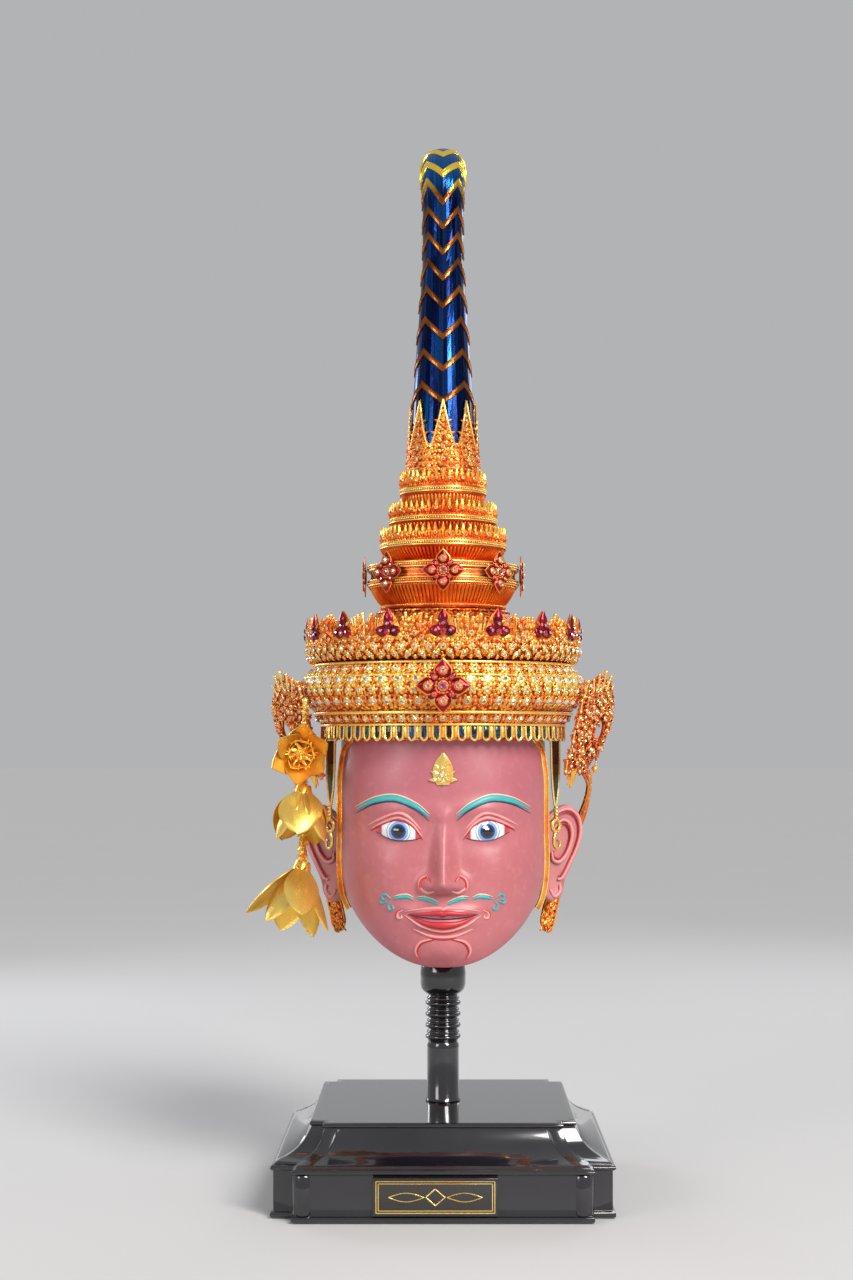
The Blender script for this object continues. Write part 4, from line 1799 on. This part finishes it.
def stand_base():
    half_x, half_y, top = span("stand_base")[1]
    wall_high, inset_top = 42.0, 30.0

    def outline(inset, z, step, groove=0.0):
        """One level of the base: stepped corners, with a fine groove near both ends of each side."""
        x, y = half_x - inset, half_y - inset
        ring = []
        for quarter in range(4):
            a, b = (x, y) if quarter % 2 == 0 else (y, x)
            at = a - step - 11
            side = [(-a + step, 0), (-at - 1, 0), (-at, groove), (-at + 1, 0), (0, 0), (at - 1, 0),
                (at, groove), (at + 1, 0), (a - step, 0)]
            points = [Vector((px, -b + deep, 0)) for px, deep in side]
            points.append(Vector((a - step, -b + step, 0)))
            spin = Matrix.Rotation(quarter * math.pi / 2, 3, "Z")
            ring += [spin @ p for p in points]
        return [Vector((p.x, p.y, z)) for p in ring]

    levels = [(1.4, 0, 18, 0), (0.2, 1.2, 18, 0), (0, 3, 18, 0), (0.4, 4.6, 18, 0), (2.5, 5.4, 18, 0),
        (2.5, 37.2, 18, 0), (1.0, 38, 18, 0), (0.2, 39, 18, 0), (0.1, 40.2, 18, 0), (1.0, 41.4, 18, 0),
        (2.8, wall_high, 18, 0), (3.4, 42.4, 18, 0), (3.4, 43.0, 17.6, 0), (4.4, 43.6, 17.5, 0)]
    steps = 14
    for i in range(steps + 1):
        t = i / steps
        hollow = 3.2 * math.sin(t * math.pi)
        inset = lerp(4.6, inset_top + 1.5, t) + hollow
        rise = max(lerp(1.8, top - wall_high - 4, t) - hollow, 1.8 + t)
        levels.append((inset, wall_high + rise, lerp(17.5, 11, t), 1.1 * clamp(math.sin(math.pi * t) * 6)))
    levels += [(30.6, top - 3.4, 11, 0), (29.9, top - 2.6, 11, 0), (29.9, top - 1.4, 11, 0),
        (30.6, top - 0.5, 11, 0), (31.6, top, 11, 0), (36, top, 11, 0)]
    base = closed_up(loft("base_body", [outline(*level) for level in levels]))
    applied(base, "BEVEL", width=0.45, segments=2, limit_method="ANGLE", angle_limit=math.radians(38))
    settle(base, black_gloss, ["stand_base"], 40)
    pillar_profile = [(0, 5.6), (8.4, 5.6), (9.0, 6.6), (9.0, 36.0), (8.4, 37.0), (0, 37.0)]
    pillars = []
    for sx in (-1, 1):
        for sy in (-1, 1):
            pillar = turned("pillar", pillar_profile, 40)
            pillar.data.transform(moved(sx * (half_x - 18 - 9.2), sy * (half_y - 9.4), 0))
            pillars.append(pillar)
    settle(joined("base_pillars", pillars), black_gloss, (), 40)


def stand_post():
    foot = span("stand_base")[1].z + 0.3
    rings_z, cup_z = foot + 52, foot + 90
    cup_top = cup_z + 26
    knob_top = crest_z + 30 - wall - 1.6
    knob_z = knob_top - 26
    profile = [(0, foot)]
    profile += [(14.6, foot), (14.9, foot + 0.8), (14.4, foot + 1.8), (13.6, foot + 3)]
    profile += [(13.5, rings_z - 8), (13.7, rings_z - 5), (12.4, rings_z - 2.2)]
    for i in range(4):
        z = rings_z + i * 9.5
        profile += cord_profile(13.2, z + 2.3, 3.8, 8)
        profile += cord_profile(12.7, z + 6.4, 2.4, 6)
        profile.append((12.2, z + 8.6))
    profile += [(13.5, cup_z + 0.4), (16.2, cup_z + 2.2), (18.4, cup_z + 5), (19.3, cup_z + 9),
        (19.4, cup_z + 18), (18.6, cup_top - 2), (16.2, cup_top + 2), (13.7, cup_top + 6)]
    profile += [(13.5, knob_z - 20), (26, knob_z - 12), (38, knob_z - 2), (43, knob_z + 4),
        (43.4, knob_z + 8), (40, knob_z + 14), (33, knob_z + 19.5), (20, knob_top - 1.5), (0, knob_top)]
    settle(turned("post_turned", profile, 64), black_gloss, ["stand_post"], 40)


def stand_plaque():
    low, high = span("stand_plaque")
    middle = (low + high) / 2
    wide, tall = high.x - low.x, high.z - low.z
    bpy.ops.mesh.primitive_cube_add(size=1, location=middle)
    plate = bpy.context.object
    plate.scale = (wide, high.y - low.y, tall)
    bpy.ops.object.transform_apply(location=True, rotation=False, scale=True)
    applied(plate, "BEVEL", width=0.7, segments=3)
    plate.name = "plaque_plate"
    settle(plate, plaque_metal, ["stand_plaque"], 40)
    front = low.y - 0.05
    wires = []
    for inset in (2.6, 4.4):
        x, z = wide / 2 - inset, tall / 2 - inset
        corners = [(-x, -z), (x, -z), (x, z), (-x, z), (-x, -z)]
        line = [Vector((middle.x + px, front, middle.z + pz)) for px, pz in corners]
        for a, b in zip(line, line[1:]):
            wires.append(tube("wire", [a, a.lerp(b, 0.5), b], 0.42, 6))
    for sign in (-1, 1):
        for side in (-1, 1):
            wave = [Vector((middle.x + sign * (9 + 4.6 * s), front, middle.z
                + side * 3.4 * math.sin(math.pi * s / 6))) for s in range(7)]
            wires.append(tube("wire", curve_through(wave, 4), 0.4, 6))
    lozenge = [Vector((middle.x + 7.5 * math.cos(TURN * k / 4), front, middle.z
        + 6.5 * math.sin(TURN * k / 4))) for k in range(5)]
    for a, b in zip(lozenge, lozenge[1:]):
        wires.append(tube("wire", [a, a.lerp(b, 0.5), b], 0.45, 6))
    settle(closed_up(joined("plaque_lines", wires)), bright_gilt, (), ROUND)


plaque_metal = lacquer("plaque_metal", (0.014, 0.010, 0.007))
stand_base()
stand_post()
stand_plaque()


# Floor, light and camera


def studio():
    bpy.ops.mesh.primitive_plane_add(size=60, location=(0, 0, -0.0005))
    floor = bpy.context.object
    floor.name = "floor"
    f = Finish("floor_paper", Roughness=0.9)
    f.feed("Base Color", f.blend(f.noise(3), (0.55, 0.55, 0.56), (0.57, 0.57, 0.58)))
    floor.data.materials.append(f.material)
    world = bpy.data.worlds.new("studio")
    bpy.context.scene.world = world
    world.use_nodes = True
    sky = world.node_tree.nodes["Background"]
    sky.inputs["Color"].default_value = (0.97, 0.98, 1.0, 1)
    sky.inputs["Strength"].default_value = 0.46
    lamps = [("AREA", "key", (1.05, -1.5, 1.15), 0.5, 21.0, (1.0, 0.95, 0.87)),
        ("AREA", "fill", (-1.4, -1.4, 0.9), 0.7, 9.0, (1.0, 0.96, 0.92)),
        ("AREA", "rim", (0.9, 1.6, 1.3), 0.9, 6.0, (0.95, 0.97, 1.0)),
        ("AREA", "rim_low", (-1.2, 1.2, 0.8), 0.6, 6.0, (0.95, 0.97, 1.0)),
        ("SUN", "daylight", (0.7, -1.2, 1.7), 0.35, 1.7, (1.0, 0.98, 0.95))]
    aim = Vector((0, 0, 0.42))
    for kind, name, place, size, power, colour in lamps:
        light = bpy.data.lights.new(name, kind)
        if kind == "SUN":
            light.angle = size
        else:
            light.size = size
        light.energy = power
        light.color = colour
        lamp = bpy.data.objects.new(name, light)
        lamp.location = place
        lamp.rotation_euler = (aim - Vector(place)).to_track_quat("-Z", "Y").to_euler()
        bpy.context.collection.objects.link(lamp)


camera_back, camera_height = 1.657, 0.3743


def camera():
    lens = bpy.data.cameras.new("camera")
    lens.sensor_fit = "VERTICAL"
    lens.sensor_height = 36
    lens.lens = 54.84
    lens.clip_start = 0.01
    lens.shift_x = -0.0129
    lens.shift_y = 0.082
    eye = bpy.data.objects.new("camera", lens)
    eye.location = (0, -camera_back, camera_height)
    eye.rotation_euler = (math.pi / 2, 0, 0)
    bpy.context.collection.objects.link(eye)
    bpy.context.scene.camera = eye


studio()
camera()
bpy.context.scene.view_settings.view_transform = "Standard"
